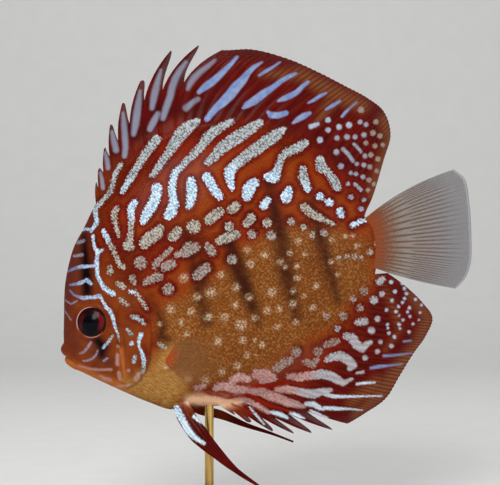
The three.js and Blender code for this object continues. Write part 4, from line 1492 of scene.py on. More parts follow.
@dataclass
class Skin:
    """One skin over head, jaw, gill covers, trunk and tail stalk.

    Places and sizes of the head's parts are pixels of the photograph, heights and depths millimetres.
    """

    cells: int = 216
    pull: float = 0.27
    pull_towards: float = -152.0
    rim_crowding: float = 0.45
    rim_band: float = 0.012
    socket_edges: Span = (12.0, 15.4)
    socket_depth: float = 2.6
    lid: Span = (16.8, 1.5)
    lid_height: float = 0.45
    nostril: Span = (68.0, 333.6)
    nostril_ring: Span = (3.0, 1.1)
    nostril_ring_height: float = 0.16
    nostril_width: float = 1.3
    nostril_depth: float = 0.7
    mouth: Line = ((55, 355.4), (64, 355.8), (68, 358), (72, 360.5), (77, 364), (90, 371))
    mouth_depth: float = 0.2
    mouth_ends: Span = (70.0, 78.0)
    lip_ends: Span = (64.0, 82.0)
    upper_lip: tuple[float, float, float] = (-6.6, 6.4, 1.2)
    lower_lip: tuple[float, float, float] = (5.0, 4.8, 1.0)
    lip_fullness: float = 0.9
    cover: Line = (
        (119, 299), (138, 296), (148, 306), (153, 322), (154, 338), (151.5, 355), (147, 369), (139, 382),
        (127, 390), (120, 381), (117, 355), (116, 322),
    )
    cover_height: float = 0.5
    cover_edge: float = 2.6
    cover_groove: Span = (-0.8, 1.2)
    groove_depth: float = 0.14
    cover_top: Span = (296.0, 318.0)
    shoulder: Span = (161.0, 350.0)
    shoulder_size: Span = (5.0, 8.0)
    shoulder_height: float = 0.4
    cheek: Line = ((84, 342), (104, 345), (112, 352), (112, 372), (98, 372), (84, 362))
    cheek_edge: Span = (-2.0, 6.0)
    cheek_height: float = 0.22
    scales_from: Span = (118.0, 150.0)
    scale_free_edge: float = 4.0
    scale_height: float = 0.05

    def disc(self, s: Array, t: Array) -> tuple[Array, Array]:
        """Spreads a square evenly over a disc, a little closer towards the mouth.

        Args:
            s: Shares across the square.
            t: Shares along the square.

        Returns:
            Radius from 0 to 1, and angle.
        """
        a, b = 2 * s - 1, 2 * t - 1
        wide = np.abs(a) > np.abs(b)
        longer = np.where(wide, a, b)
        ratio = np.where(wide, b, a) / np.where(longer == 0, 1, longer)
        angle = np.where(wide, ratio * math.pi / 4, math.pi / 2 - ratio * math.pi / 4)
        flat = longer * np.exp(1j * angle)
        shift = self.pull * np.exp(1j * math.radians(self.pull_towards))
        moved = (flat + shift) / (1 + np.conj(shift) * flat)
        radius = np.minimum(np.abs(moved), 1.0)
        crowded = (1 - self.rim_crowding) * radius + self.rim_crowding * np.sin(radius * math.pi / 2)
        return np.where(np.abs(longer) > 1 - 1e-6, 1.0, crowded), np.angle(moved)

    def flank(self, side: int) -> Piece:
        """One half of the skin, from the rim to mid flank, on the side y = side.

        Args:
            side: The side's sign.

        Returns:
            The half.
        """
        grid, s, t = add_grid(f"flank_{side}", self.cells, self.cells)
        radius, angle = self.disc(s, t)
        reach = radius * FORM.rim(angle)
        x, z = reach * np.cos(angle), reach * np.sin(angle)
        edge = np.sqrt(np.clip((1 - radius) / self.rim_band, 0, 1))
        half = np.where(radius >= 1, 0.0, FORM.half(x, z) * np.where(FORM.finned(x, z) > 0, edge, 1.0))
        points = np.stack([x, FORM.swing(x) + side * half, z], axis=1)
        set_vertices(grid, PLACE.world(points))
        return grid

    def lips(self, across: Array, down: Array) -> Array:
        """Height of the lips, less the depth of the mouth line.

        Args:
            across: Pixel columns of the points.
            down: Pixel rows of the points.

        Returns:
            One height for each point, in millimetres.
        """
        knots = np.array(self.mouth)
        level = down - np.interp(across, knots[:, 0], knots[:, 1])
        height = np.zeros(len(across))
        for middle, half, rise in (self.upper_lip, self.lower_lip):
            share = np.clip((level - middle) / half, -1, 1)
            height += rise * np.cos(share * math.pi / 2) ** self.lip_fullness
        cleft = hump(level, 0.0, 1.0) * (1 - smooth(across, *self.mouth_ends))
        return (1 - smooth(across, *self.lip_ends)) * height - self.mouth_depth * cleft

    def relief(self, across: Array, down: Array, points: Array) -> Array:
        """How far the skin stands out from its plain form, in millimetres.

        Args:
            across: Pixel columns of the vertices.
            down: Pixel rows of the vertices.
            points: The vertices in the shared frame.

        Returns:
            One height for each vertex.
        """
        eye = RIM_OF_EYE.reach(across, down)
        height = self.lid_height * hump(eye, *self.lid)
        height -= self.socket_depth * (1 - smooth(eye, *self.socket_edges))
        hole = np.hypot(across - self.nostril[0], down - self.nostril[1])
        height += self.nostril_ring_height * hump(hole, *self.nostril_ring)
        height -= self.nostril_depth * hump(hole, 0.0, self.nostril_width)
        cover = loop_gap(across, down, self.cover)
        plate = self.cover_height * smooth(cover, 0, self.cover_edge)
        plate -= self.groove_depth * hump(cover, *self.cover_groove)
        height += plate * smooth(down, *self.cover_top)
        knob = [(at - middle) / size for at, middle, size in
                zip((across, down), self.shoulder, self.shoulder_size)]
        height += self.shoulder_height * hump(np.hypot(*knob), 0.0, 1.0)
        height += self.cheek_height * smooth(loop_gap(across, down, self.cheek), *self.cheek_edge)
        height += self.lips(across, down)
        head = np.maximum(1 - smooth(across, *self.scales_from), smooth(cover, -self.scale_free_edge, 0))
        height += self.scale_height * SCALES.domes(points) * (1 - head)
        return height

    def build(self) -> Piece:
        """Builds and dresses the skin.

        Returns:
            The skin.
        """
        skin = weld([self.flank(-1), self.flank(1)], "body_skin")
        world = vertices(skin)
        points = world * METRE - np.array([PLACE.along, 0.0, PLACE.up])
        normals = np.empty(len(world) * 3, np.float32)
        skin.data.vertex_normals.foreach_get("vector", normals)
        across, down = SIGHT.pixels(points, FORM.near(points))
        height = self.relief(across, down, world)
        set_vertices(skin, world + normals.reshape(-1, 3) * height[:, None] / METRE)
        paint_marks(skin, points, FORM.near(points))
        for name in FIN_FIELDS:
            attribute(skin, name, np.zeros(len(world)))
        nodes = ("head", "lower_jaw", "gill_cover_left", "gill_cover_right", "trunk", "tail_stalk")
        finish_piece(skin, HIDE, nodes)
        return skin


@dataclass(frozen=True)
class RayField:
    """Fin rays: x and z of each root, x and z of each tip, and the bow forward as a share of the length."""

    rays: tuple[tuple[float, ...], ...]

    def point(self, row: Array, t: Array, depth: float) -> Array:
        """A point on the ray at a fractional row, at the share t of its length.

        Args:
            row: Which ray, from 0.
            t: Share of the way from the root to the tip.
            depth: How far the root is moved into the body.

        Returns:
            x and z of each point.
        """
        table = np.array(self.rays)
        roots = spline(table[:, :2], row)
        tips = spline(table[:, 2:4], row)
        bow = np.interp(row, np.arange(len(table)), table[:, 4])
        along = tips - roots
        roots = roots - along * (depth / np.linalg.norm(along, axis=1))[:, None]
        along = tips - roots
        side = np.stack([-along[:, 1], along[:, 0]], axis=1) * (4 * bow * t * (1 - t))[:, None]
        return roots + along * t[:, None] + side


DORSAL = RayField((
    (-45.0, 23.4, -45.4, 29.5, 0.05), (-43.6, 25.6, -44.6, 34.2, 0.05), (-41.0, 28.8, -42.5, 41.8, 0.07),
    (-37.4, 32.0, -40.3, 50.4, 0.085), (-33.8, 35.3, -35.9, 58.3, 0.10), (-30.2, 38.9, -29.4, 66.2, 0.11),
    (-25.9, 42.1, -18.5, 77.2, 0.14), (-20.5, 45.4, -8.5, 79.1, 0.17), (-14.0, 48.2, 0.0, 77.4, 0.20),
    (-6.1, 50.4, 10.8, 77.6, 0.12), (3.6, 50.8, 23.8, 74.2, 0.06), (13.7, 49.0, 34.6, 69.5, 0.05),
    (23.4, 45.0, 44.6, 64.4, 0.04), (32.0, 38.9, 52.6, 60.1, 0.03), (39.2, 32.4, 58.3, 55.4, 0.03),
    (44.6, 26.3, 60.8, 47.2, 0.02), (48.2, 21.2, 58.3, 37.8, 0.0), (50.0, 18.4, 54.0, 23.8, 0.0),
    (51.1, 16.9, 51.8, 19.4, 0.0),
))
ANAL = RayField((
    (0.0, -51.1, 4.0, -53.6, 0.0), (1.8, -50.8, 9.0, -56.5, 0.0), (4.0, -50.4, 17.9, -59.9, -0.02),
    (6.8, -49.7, 25.6, -60.7, -0.03), (10.1, -49.0, 32.0, -60.5, -0.04), (13.7, -47.5, 39.6, -59.4, -0.04),
    (17.6, -45.7, 45.2, -57.2, -0.04), (21.6, -43.6, 51.8, -53.3, -0.03), (28.1, -39.6, 59.0, -48.2, -0.02),
    (34.6, -34.6, 64.1, -40.0, 0.0), (40.7, -28.8, 69.1, -32.0, 0.0), (45.7, -22.7, 73.4, -25.9, 0.0),
    (49.7, -16.6, 76.0, -19.1, 0.0), (52.6, -11.2, 72.4, -13.6, 0.0), (54.4, -6.8, 66.2, -7.6, 0.0),
    (55.6, -3.2, 59.8, -2.9, 0.0),
))
CAUDAL = RayField((
    (50.4, 15.0, 83.9, 34.6, 0.06), (50.9, 13.7, 87.8, 31.0, 0.04), (51.5, 11.6, 89.5, 22.0, 0.02),
    (51.8, 8.3, 90.2, 11.5, 0.0), (51.8, 5.0, 90.0, 1.1, 0.0), (51.8, 2.0, 88.2, -4.4, 0.0),
    (51.8, 0.4, 84.4, -8.6, -0.03),
))


@dataclass(frozen=True)
class Blade:
    """Thickness of a fin: a fleshy foot, a membrane, ray ridges, and the share that the margin keeps."""

    membrane: float = 0.5
    foot: float = 2.6
    fall: float = 14.0
    ridge: float = 0.16
    margin: float = 0.4
    margin_from: float = 0.75
    ridge_from: float = 2.5

    def half(self, out: Array, t: Array, ridge: Array) -> Array:
        """Half thickness of a fin.

        Args:
            out: Distance from the fin's foot.
            t: Share of the way to the margin.
            ridge: How far the point lies on a ray.

        Returns:
            One half thickness for each point.
        """
        flesh = (self.foot - self.membrane) / 2 * np.clip(1 - out / self.fall, 0, 1) ** 1.5
        edge = 1 - smooth(t, self.margin_from, 1.0)
        web = self.membrane / 2 * (self.margin + (1 - self.margin) * edge)
        return web + flesh + ridge * self.ridge * edge * smooth(out, 0, self.ridge_from)


@dataclass(frozen=True)
class Rays:
    """Evenly spaced rays across a fin, which branch in two on their way to the margin."""

    count: int
    fork_from: float
    fork_to: float
    fork_height: float = 1.0
    fall: float = 0.0
    fall_from: float = 0.6

    def height(self, s: Array, t: Array) -> Array:
        """How far each point lies on a ray, from 0 between two to 1.

        Args:
            s: Shares across the fin.
            t: Shares of the way to the margin.

        Returns:
            One share for each point.
        """
        branch = smooth(t, self.fork_from, self.fork_to)
        whole, split = crests(self.count, s), crests(2 * self.count, s)
        height = whole * (1 - branch) + split * branch * self.fork_height
        return height * (1 - self.fall * smooth(t, self.fall_from, 1.0))


DORSAL_SPINES, ANAL_SPINES = 8, 6
DORSAL_RIBS = Rays(31, 0.4, 0.75, fork_height=0.8)
ANAL_RIBS = Rays(30, 0.4, 0.75, fork_height=0.8)


def two_faced(
    name: str, columns: int, rows: int, shape: Callable[[Array, Array], Sheet],
    fields: Callable[[Array, Array], dict[str, Array]],
) -> Piece:
    """A closed sheet, built as two grids that share their margin.

    Args:
        name: The piece's name.
        columns: Faces across.
        rows: Faces along.
        shape: Gives the middle surface, the half thickness, and the direction it is laid off in.
        fields: Gives the numbers that the vertices carry, by name.

    Returns:
        The sheet.
    """
    sides = []
    for side in (-1, 1):
        grid, s, t = add_grid(f"{name}_{side}", columns, rows)
        middle, half, normal = shape(s, t)
        border = np.minimum(np.minimum(s, 1 - s) * columns, np.minimum(t, 1 - t) * rows)
        half = half * np.sqrt(np.clip(border / 1.5, 0, 1))
        set_vertices(grid, PLACE.world(middle + normal * (side * half)[:, None]))
        for label, values in fields(s, t).items():
            attribute(grid, label, values)
        sides.append(grid)
    return weld(sides, name)


def midplane_sheet(x: Array, z: Array, t: Array, blade: Blade, ridge: Array) -> Sheet:
    """Lays out a fin that stands in the fish's midplane.

    Args:
        x: Place along the body of each point.
        z: Its height.
        t: Its share of the way to the margin.
        blade: The fin's thickness.
        ridge: How far the point lies on a ray.

    Returns:
        Middle surface, half thickness and offset direction.
    """
    half = FORM.fin_half(x, z, blade.half(FORM.beyond(x, z), t, ridge))
    return np.stack([x, FORM.swing(x), z], axis=1), half, np.tile([0.0, 1.0, 0.0], (len(x), 1))


class Fin:
    """What all fins share: a closed sheet in one finish, which stands for one solid."""

    name: str
    node: str
    columns: int
    rows: int
    slot: ClassVar[str] = "median_fins"
    finish: ClassVar[Finish] = HIDE

    def sheet(self) -> Piece:
        """The fin's mesh."""
        return two_faced(self.name, self.columns, self.rows, self.shape, self.fields)

    def build(self) -> Piece:
        """Builds and dresses the fin.

        Returns:
            The fin.
        """
        fin = self.sheet()
        if self.finish is HIDE:
            paint(fin)
        finish_piece(fin, self.finish, (self.node,))
        return fin


@dataclass
class SoftFin(Fin):
    """The soft hind part of a median fin, ribbed with rays that branch towards the margin."""

    name: str
    node: str
    rays: RayField
    first: float
    last: float
    ribs: Rays
    columns: int = 250
    rows: int = 96
    depth: float = 4.5
    scallop: float = 0.0035
    clear_margin: float = 0.15
    blade: Blade = Blade()

    def shape(self, s: Array, t: Array) -> Sheet:
        """Middle surface, half thickness and offset direction.

        Args:
            s: Shares across the fin.
            t: Shares of the way to the margin.

        Returns:
            All three, one row for each point.
        """
        row = self.first + s * (self.last - self.first)
        waves = np.cos(4 * math.pi * self.ribs.count * s) * smooth(t, 0.8, 1)
        x, z = self.rays.point(row, t * (1 + self.scallop * waves), self.depth).T
        return midplane_sheet(x, z, t, self.blade, self.ribs.height(s, t))

    def fields(self, s: Array, t: Array) -> dict[str, Array]:
        """Ray, reach and clearness of each vertex.

        Args:
            s: Shares across the fin.
            t: Shares of the way to the margin.

        Returns:
            The three fields by name.
        """
        ray = self.ribs.height(s, t)
        clear = self.clear_margin * smooth(t, 0.72, 1.0) * (1 - 0.5 * ray)
        return {"ray": ray * smooth(t, 0.1, 0.3), "reach": t, "clear": clear}


@dataclass
class SpinyFin(Fin):
    """The spiny front of a median fin: free lobes, each behind its spine."""

    name: str
    node: str
    rays: RayField
    spines: int
    columns: int = 24
    rows: int = 84
    depth: float = 4.0
    notch: float = 0.46
    overlap: float = 1.12
    last_overlap: float = 1.3
    least_width: float = 0.35
    spine_width: float = 0.22
    clear_web: float = 0.25
    tuck: float = 0.16
    blade: Blade = Blade(ridge=0.3)

    def lobe(self, number: int) -> Piece:
        """One lobe, from its spine to the next spine's foot.

        Args:
            number: Which spine, from 0.

        Returns:
            The lobe.
        """
        last = number == self.spines - 1
        overlap = self.last_overlap if last else self.overlap

        def shape(s: Array, t: Array) -> Sheet:
            """Middle surface, half thickness and offset direction.

            Args:
                s: Shares across the fin.
                t: Shares of the way to the margin.

            Returns:
                All three, one row for each point.
            """
            above = np.clip((t - self.notch) / (1 - self.notch), 0, 1)
            width = (1 - above) ** 0.75
            front = self.rays.point(np.full(len(s), float(number)), t, self.depth)
            back = self.rays.point(np.full(len(s), number + 1.0), t, self.depth)
            share = s * np.where(t < self.notch, overlap, 1 + (overlap - 1) * (1 - above) ** 4) * width
            flat = front + (back - front) * share[:, None]
            x, z = flat.T
            x = x + self.least_width * s * (1 - 0.6 * t) * (1 - width)
            spine = np.maximum(0, 1 - s / self.spine_width)
            middle, half, outwards = midplane_sheet(x, z, t, self.blade, spine)
            return middle, half - (self.tuck * smooth(share, 0.85, 1.1) if last else 0), outwards

        def fields(s: Array, t: Array) -> dict[str, Array]:
            """Ray, reach and clearness of each vertex.

            Args:
                s: Shares across the fin.
                t: Shares of the way to the margin.

            Returns:
                The three fields by name.
            """
            web = smooth(s, 0.25, 0.5) * smooth(t, 0.35, 0.7)
            spine = np.maximum(0, 1 - s / self.spine_width)
            return {"ray": spine, "reach": t, "clear": self.clear_web * web}

        return two_faced(f"{self.name}_{number}", self.columns, self.rows, shape, fields)

    def sheet(self) -> Piece:
        """All lobes, joined in one mesh."""
        return weld([self.lobe(number) for number in range(self.spines)], self.name, TINY)


@dataclass
class TailFan(Fin):
    """The see-through caudal fin."""

    slot: ClassVar[str] = "clear_fins"
    finish: ClassVar[Finish] = ClearFin()
    name: str = "tail_fan"
    node: str = "caudal_fin"
    ribs: Rays = Rays(17, 0.3, 0.6, fall=0.45)
    columns: int = 238
    rows: int = 90
    depth: float = 3.0
    side_rim: float = 0.012
    hind_rim: Span = (0.97, 0.995)
    hind_rim_strength: float = 0.8
    blade: Blade = Blade(membrane=0.45, ridge=0.14)

    def shape(self, s: Array, t: Array) -> Sheet:
        """Middle surface, half thickness and offset direction."""
        x, z = CAUDAL.point(s * (len(CAUDAL.rays) - 1), t, self.depth).T
        return midplane_sheet(x, z, t, self.blade, self.ribs.height(s, t))

    def fields(self, s: Array, t: Array) -> dict[str, Array]:
        """Ray, reach and rim of each vertex.

        Args:
            s: Shares across the fin.
            t: Shares of the way to the margin.

        Returns:
            The three fields by name.
        """
        hind = self.hind_rim_strength * smooth(t, *self.hind_rim)
        rim = np.maximum(hind, 1 - np.minimum(s, 1 - s) / self.side_rim)
        return {"ray": self.ribs.height(s, t), "reach": t, "rim": np.clip(rim, 0, 1)}


def surface_normal(points: Callable[[Array, Array], Array], s: Array, t: Array) -> Array:
    """The direction square to a surface, from small steps on it.

    Args:
        points: Gives the surface's points.
        s: Shares across it.
        t: Shares along it.

    Returns:
        One unit vector for each point.
    """
    step = 1e-3
    across = points(s + step, t) - points(s - step, t)
    along = points(s, t + step) - points(s, t - step)
    normal = np.cross(across, along)
    return normal / np.maximum(np.linalg.norm(normal, axis=1), TINY)[:, None]


PECTORAL_WEB = ClearFin(
    name="pectoral_web", foot=tint(160, 66, 20), ray=tint(144, 94, 54), web=tint(146, 96, 56),
    outer=tint(146, 96, 56), edge=tint(200, 150, 110), cover=0.34, ray_cover=0.14, foot_reach=0.3,
)


@dataclass
class Pectoral(Fin):
    """A clear pectoral fin, fanned out from the flank behind the gill cover."""

    slot: ClassVar[str] = "clear_fins"
    finish: ClassVar[Finish] = PECTORAL_WEB
    name: str
    node: str
    side: int
    spread: float
    x: float = -18.4
    z: float = -31.4
    root_half: float = 3.2
    length: float = 24.5
    sink: float = 1.4
    top: float = 14.0
    bottom: float = -38.0
    cup: float = 1.6
    rim: float = 0.03
    rim_fade: float = 1.4
    ribs: Rays = Rays(12, 0.45, 0.75)
    columns: int = 144
    rows: int = 60
    blade: Blade = Blade(foot=1.8, membrane=0.4, ridge=0.12)

    def middle(self, s: Array, t: Array) -> Array:
        """The fin's middle surface.

        Args:
            s: Shares across the fin.
            t: Shares of the way to the margin.

        Returns:
            One point for each pair.
        """
        half = FORM.bare(np.array([self.x]), np.array([self.z]))[0]
        angle = np.radians(self.top + (self.bottom - self.top) * s)
        shape = np.maximum(0, np.sin(math.pi * (0.1 + 0.84 * s)))
        length = self.length * (0.5 + 0.5 * shape**0.7) * t
        along = length * np.cos(angle)
        lean = math.radians(self.spread)
        cup = self.cup * np.sin(math.pi * s) * t * t
        return np.stack([
            self.x + along * math.cos(lean) - self.sink,
            self.side * (half - self.sink + along * math.sin(lean) + cup),
            self.z + self.root_half * (1 - 2 * s) + length * np.sin(angle),
        ], axis=1)

    def shape(self, s: Array, t: Array) -> Sheet:
        """Middle surface, half thickness and offset direction."""
        half = self.blade.half(t * self.length, t, self.ribs.height(s, t))
        return self.middle(s, t), half, surface_normal(self.middle, s, t)

    def fields(self, s: Array, t: Array) -> dict[str, Array]:
        """Ray, reach and rim of each vertex."""
        rim = np.maximum(0, 1 - s / self.rim) * (1 - t) - self.rim_fade * smooth(t, 0.3, 1.0)
        return {"ray": self.ribs.height(s, t), "reach": t, "rim": rim}


# Middle line of each pelvic fin: x, distance from the midplane, z and half width, from its root to its tip.
PELVIC_LEFT = (
    (-14.8, 1.8, -48.8, 2.6), (-13.2, 3.6, -53.2, 3.3), (-8.2, 6.6, -60.1, 3.4), (-1.6, 8.4, -66.6, 2.1),
    (5.0, 9.6, -72.4, 1.0), (12.6, 10.4, -77.5, 0.5), (20.6, 11.0, -82.6, 0.35),
)
PELVIC_RIGHT = (
    (-10.6, 1.8, -48.6, 1.7), (-9.0, 3.4, -51.8, 1.9), (-0.4, 6.6, -54.7, 1.6), (8.6, 8.4, -58.6, 0.9),
    (18.4, 9.6, -62.0, 0.5), (26.0, 10.4, -65.0, 0.35),
)


@dataclass
class Pelvic(Fin):
    """A pelvic fin: a narrow blade whose front rays run out to a thread."""

    slot: ClassVar[str] = "pelvic_fins"
    name: str
    node: str
    side: int
    line: Line
    count: int = 5
    columns: int = 60
    rows: int = 150
    blade: Blade = Blade(foot=1.6, membrane=0.5, ridge=0.16)

    def middle(self, s: Array, t: Array) -> Array:
        """The fin's middle surface.

        Args:
            s: Shares across the fin.
            t: Shares of the way to the margin.

        Returns:
            One point for each pair.
        """
        knots = np.array(self.line)
        at = np.clip(t, 0, 1) * (len(knots) - 1)
        path = knots[:, :3] * np.array([1.0, self.side, 1.0])
        centre = spline(path, at)
        step = 0.01
        ahead = spline(path, np.minimum(at + step, len(knots) - 1)) - spline(path, np.maximum(at - step, 0))
        across = np.stack([-ahead[:, 2], np.zeros(len(s)), ahead[:, 0]], axis=1)
        across /= np.linalg.norm(across, axis=1)[:, None]
        width = np.interp(at, np.arange(len(knots)), knots[:, 3])
        return centre + across * (width * (2 * s - 1))[:, None]

    def ridge(self, s: Array, t: Array) -> Array:
        """How far each point lies on a ray."""
        return crests(self.count, s) * (1 - t)

    def shape(self, s: Array, t: Array) -> Sheet:
        """Middle surface, half thickness and offset direction."""
        half = self.blade.half(t * self.blade.fall, t, self.ridge(s, t))
        return self.middle(s, t), half, surface_normal(self.middle, s, t)

    def fields(self, s: Array, t: Array) -> dict[str, Array]:
        """Ray, reach and clearness of each vertex."""
        return {"ray": self.ridge(s, t), "reach": t, "clear": np.zeros(len(s))}


# Each side: its sign on y, its name, and how far its pectoral fin stands off the flank in degrees.
SIDES = ((-1, "left", 24.0), (1, "right", 34.0))


@dataclass
class Eye:
    """An eyeball with a domed pupil."""

    name: str
    node: str
    side: int
    x: float = -46.0
    z: float = -20.3
    radius: float = 6.8
    depth: float = 4.0
    rise: float = 1.9
    pupil_x: float = -46.8
    pupil: float = 3.35
    hole: Span = (89.8, 325.2)
    hole_size: Span = (7.8, 9.8)
    lit_iris_from: Span = (7.5, 9.5)
    lit_iris_to: Span = (12.0, 14.0)
    lens: float = 0.35
    lean: float = 0.9
    segments: int = 96
    rings: int = 64

    def build(self) -> Piece:
        """Builds and dresses the eye.

        Returns:
            The eye.
        """
        deselect()
        bpy.ops.mesh.primitive_uv_sphere_add(segments=self.segments, ring_count=self.rings, radius=1.0)
        ball = named(self.name)
        unit = vertices(ball)[:, [0, 2, 1]] * np.array([1.0, -1.0, 1.0])
        points = unit * np.array([self.radius, self.depth, self.radius]) + np.array([self.x, 0.0, self.z])
        half = FORM.bare(np.array([self.x]), np.array([self.z]))[0]
        local = half + self.lean * (FORM.bare(points[:, 0], points[:, 2]) - half)
        points[:, 1] += self.side * (local + self.rise - self.depth)
        gap = np.hypot(points[:, 0] - self.pupil_x, points[:, 2] - self.z)
        front = np.clip(unit[:, 1] * self.side, 0, 1)
        points[:, 1] += self.side * self.lens * np.maximum(0, 1 - (gap / self.pupil) ** 2) * (front > 0)
        set_vertices(ball, PLACE.world(points))
        across, down = SIGHT.pixels(points, FORM.near(points))
        reach = RIM_OF_EYE.reach(across, down)
        turn = np.arctan2(RIM_OF_EYE.row - down, across - RIM_OF_EYE.column)
        oval = np.hypot(*[(at - middle) / size for at, middle, size in
                          zip((across, down), self.hole, self.hole_size)])
        # Painted light on the iris: strong on the right, faint on the left, in a ring round the pupil.
        lit_iris = smooth(np.cos(turn - 0.1), 0.45, 1.0) + 0.45 * smooth(-np.cos(turn), 0.5, 1.0)
        ring = smooth(reach, *self.lit_iris_from) * (1 - smooth(reach, *self.lit_iris_to))
        # Where the eye's rim is lit: its upper left and its foot.
        lit = smooth(np.cos(turn - 2.6), -0.1, 0.9) + 0.7 * smooth(np.cos(turn + 1.5), 0.5, 1.0)
        attribute(ball, "radius", reach)
        attribute(ball, "pupil", np.where(front > 0, oval, 2))
        attribute(ball, "lit_iris", lit_iris * ring)
        attribute(ball, "lit", lit)
        weld([ball], self.name)
        finish_piece(ball, EyeGloss(), (self.node,))
        return ball


@dataclass
class Stand:
    """The wooden base, and the brass rod in its collar, whose rings give radius and height steps."""

    length: float = 96.0
    width: float = 64.0
    height: float = 8.0
    corner: float = 14.0
    corner_steps: int = 16
    chamfer: float = 1.2
    chamfer_steps: int = 4
    turned_sides: int = 64
    base_x: float = -15.0
    rod_x: float = -4.6
    rod_radius: float = 1.6
    rod_top: float = -50.0
    collar_radius: float = 4.2
    collar_height: float = 3.2
    collar_rings: Line = ((0.3, 0.0), (0.0, 0.3), (0.0, 1.2), (0.5, 1.5), (0.5, 1.9), (1.2, 2.6))
    collar_lip: Line = ((0.5, 0.0), (0.1, 0.2))
    rod_sink: float = 1.0
    rod_rings: tuple[float, ...] = (8.0, 16.0)
    gap: float = 0.3

    def base(self) -> Piece:
        """The base: a block with round corners and a softened edge.

        Returns:
            The base.
        """
        deselect()
        bpy.ops.mesh.primitive_cube_add(size=1.0)
        block = named("base_block")
        size = np.array([self.length, self.width, self.height])
        middle = np.array([self.base_x, 0, self.height / 2])
        set_vertices(block, (vertices(block) * size + middle) / METRE)
        bpy.ops.object.mode_set(mode="EDIT")
        bpy.ops.mesh.select_mode(type="EDGE")
        bpy.ops.mesh.select_all(action="DESELECT")
        bpy.ops.object.mode_set(mode="OBJECT")
        for edge in block.data.edges:
            ends = [block.data.vertices[i].co for i in edge.vertices]
            edge.select = abs(ends[0].z - ends[1].z) > 1e-4
        bpy.ops.object.mode_set(mode="EDIT")
        bpy.ops.mesh.bevel(offset=self.corner / METRE, segments=self.corner_steps, profile=0.5)
        bpy.ops.object.mode_set(mode="OBJECT")
        soften = block.modifiers.new("soften", "BEVEL")
        soften.width = self.chamfer / METRE
        soften.segments = self.chamfer_steps
        soften.limit_method = "ANGLE"
        soften.angle_limit = math.radians(50)
        bpy.ops.object.modifier_apply(modifier="soften")
        bpy.ops.object.shade_smooth_by_angle(angle=math.radians(35))
        finish_piece(block, Wood(), ("stand_base",))
        return block

    def turned(self, name: str, profile: Sequence[Span], node: str) -> Piece:
        """A turned metal piece.

        Args:
            name: The piece's name.
            profile: Radius and height of each ring, from the foot up, in millimetres.
            node: The solid that it stands for.

        Returns:
            The piece.
        """
        deselect()
        levels = np.linspace(-0.5, 0.5, len(profile))
        bpy.ops.mesh.primitive_cylinder_add(
            vertices=self.turned_sides, radius=1.0, depth=1.0, end_fill_type="NGON"
        )
        piece = named(name)
        bpy.ops.object.mode_set(mode="EDIT")
        bpy.ops.mesh.select_all(action="SELECT")
        bpy.ops.mesh.bisect(plane_co=(0, 0, 0), plane_no=(0, 0, 1))
        for level in levels[1:-1]:
            bpy.ops.mesh.select_all(action="SELECT")
            bpy.ops.mesh.bisect(plane_co=(0, 0, level), plane_no=(0, 0, 1))
        bpy.ops.object.mode_set(mode="OBJECT")
        flat = vertices(piece)
        radius, height = [np.interp(flat[:, 2], levels, part) for part in np.array(profile).T]
        x = flat[:, 0] * radius + self.rod_x + PLACE.along
        set_vertices(piece, np.stack([x, flat[:, 1] * radius, height], axis=1) / METRE)
        bpy.ops.object.shade_smooth_by_angle(angle=math.radians(40))
        finish_piece(piece, Brass(), (node,))
        return piece

    def build(self) -> list[Piece]:
        """Builds the base, rod and collar.

        Returns:
            The three pieces.
        """
        foot = self.height + self.gap / 3
        top = foot + self.collar_height
        big, small = self.collar_radius, self.rod_radius
        collar = [(big - less, foot + rise) for less, rise in self.collar_rings]
        collar += [(small + more, top + rise) for more, rise in self.collar_lip]
        levels = (top - self.rod_sink, *[top + rise for rise in self.rod_rings], PLACE.up + self.rod_top)
        rod = [(small, level) for level in levels]
        return [
            self.base(),
            self.turned("collar", collar, "stand_collar"),
            self.turned("rod", rod, "stand_rod"),
        ]


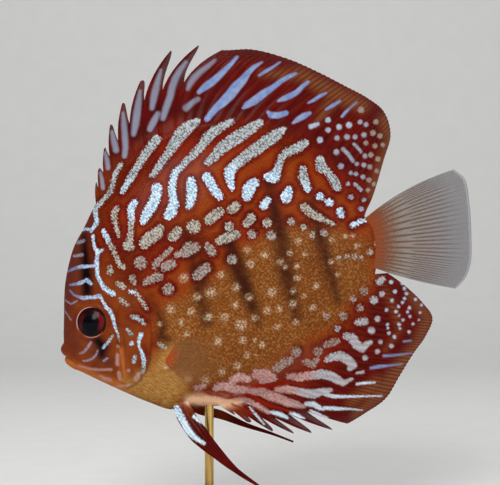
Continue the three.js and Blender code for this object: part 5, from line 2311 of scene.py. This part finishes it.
@dataclass
class Studio:
    """A pale sweep of paper and soft lamps: each lamp's name, place, size and power, in metres and watts."""

    reach: float = 2.4
    front: float = -1.6
    bend_from: float = 0.75
    bend: float = 0.35
    wall: float = 1.6
    lamps: tuple[tuple[str, tuple[float, float, float], float, float], ...] = (
        ("key", (-0.3, -1.0, 0.72), 0.5, 10.0),
        ("fill", (0.75, -0.95, 0.3), 0.9, 4.5),
        ("top", (0.05, 0.1, 0.9), 0.6, 3.0),
    )
    room: Colour = (0.9, 0.93, 1.0, 1.0)
    room_light: float = 0.26

    def sweep(self) -> None:
        """The floor, which curves up into a wall behind the model."""
        grid, s, t = add_grid("paper_sweep", 2, 48)
        flat = self.bend_from - self.front
        arc = self.bend * math.pi / 2
        run = t * (flat + arc + self.wall)
        turn = np.clip((run - flat) / self.bend, 0, math.pi / 2)
        y = self.front + np.minimum(run, flat) + self.bend * np.sin(turn)
        z = self.bend * (1 - np.cos(turn)) + np.maximum(0, run - flat - arc)
        set_vertices(grid, np.stack([(s - 0.5) * 2 * self.reach, y, z], axis=1))
        bpy.ops.object.shade_smooth()
        grid.data.materials.append(Backdrop().material())

    def lamp(self, name: str, spot: tuple[float, float, float], size: float, power: float) -> None:
        """A square soft lamp that points at the fish.

        Args:
            name: Its name.
            spot: Its place.
            size: Its side.
            power: Its power.
        """
        data = bpy.data.lights.new(name, "AREA")
        data.size = size
        data.energy = power
        lamp = bpy.data.objects.new(name, data)
        lamp.location = spot
        aim = Vector((PLACE.along / METRE, 0.0, PLACE.up / METRE)) - lamp.location
        lamp.rotation_euler = aim.to_track_quat("-Z", "Y").to_euler()
        bpy.context.scene.collection.objects.link(lamp)

    def build(self) -> None:
        """Sets up the floor, lamps and surrounding light."""
        self.sweep()
        for name, spot, size, power in self.lamps:
            self.lamp(name, spot, size, power)
        world = bpy.data.worlds.new("room")
        world.use_nodes = True
        sockets = world.node_tree.nodes["Background"].inputs
        sockets["Color"].default_value = self.room
        sockets["Strength"].default_value = self.room_light
        bpy.context.scene.world = world
        bpy.context.scene.view_settings.view_transform = "Standard"


def main() -> None:
    """Builds the model piece by piece."""
    logging.basicConfig(level=logging.INFO, format="%(name)s: %(message)s", stream=sys.stdout)
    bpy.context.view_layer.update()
    SIGHT.make_camera(PLACE)
    Studio().build()
    Skin().build()
    dorsal_last, anal_last = len(DORSAL.rays) - 1, len(ANAL.rays) - 1
    SpinyFin("dorsal_lobes", "dorsal_fin_spiny", DORSAL, DORSAL_SPINES).build()
    SoftFin("dorsal_veil", "dorsal_fin_soft", DORSAL, DORSAL_SPINES, dorsal_last, DORSAL_RIBS).build()
    SpinyFin("anal_lobes", "anal_fin_spiny", ANAL, ANAL_SPINES).build()
    SoftFin("anal_veil", "anal_fin_soft", ANAL, ANAL_SPINES, anal_last, ANAL_RIBS).build()
    TailFan().build()
    for side, word, spread in SIDES:
        Eye(f"eyeball_{word}", f"eye_{word}", side).build()
        Pectoral(f"pectoral_{word}", f"pectoral_fin_{word}", side, spread).build()
    Pelvic("pelvic_left", "pelvic_fin_left", -1, PELVIC_LEFT).build()
    Pelvic("pelvic_right", "pelvic_fin_right", 1, PELVIC_RIGHT).build()
    Stand().build()


if __name__ == "__main__":
    main()
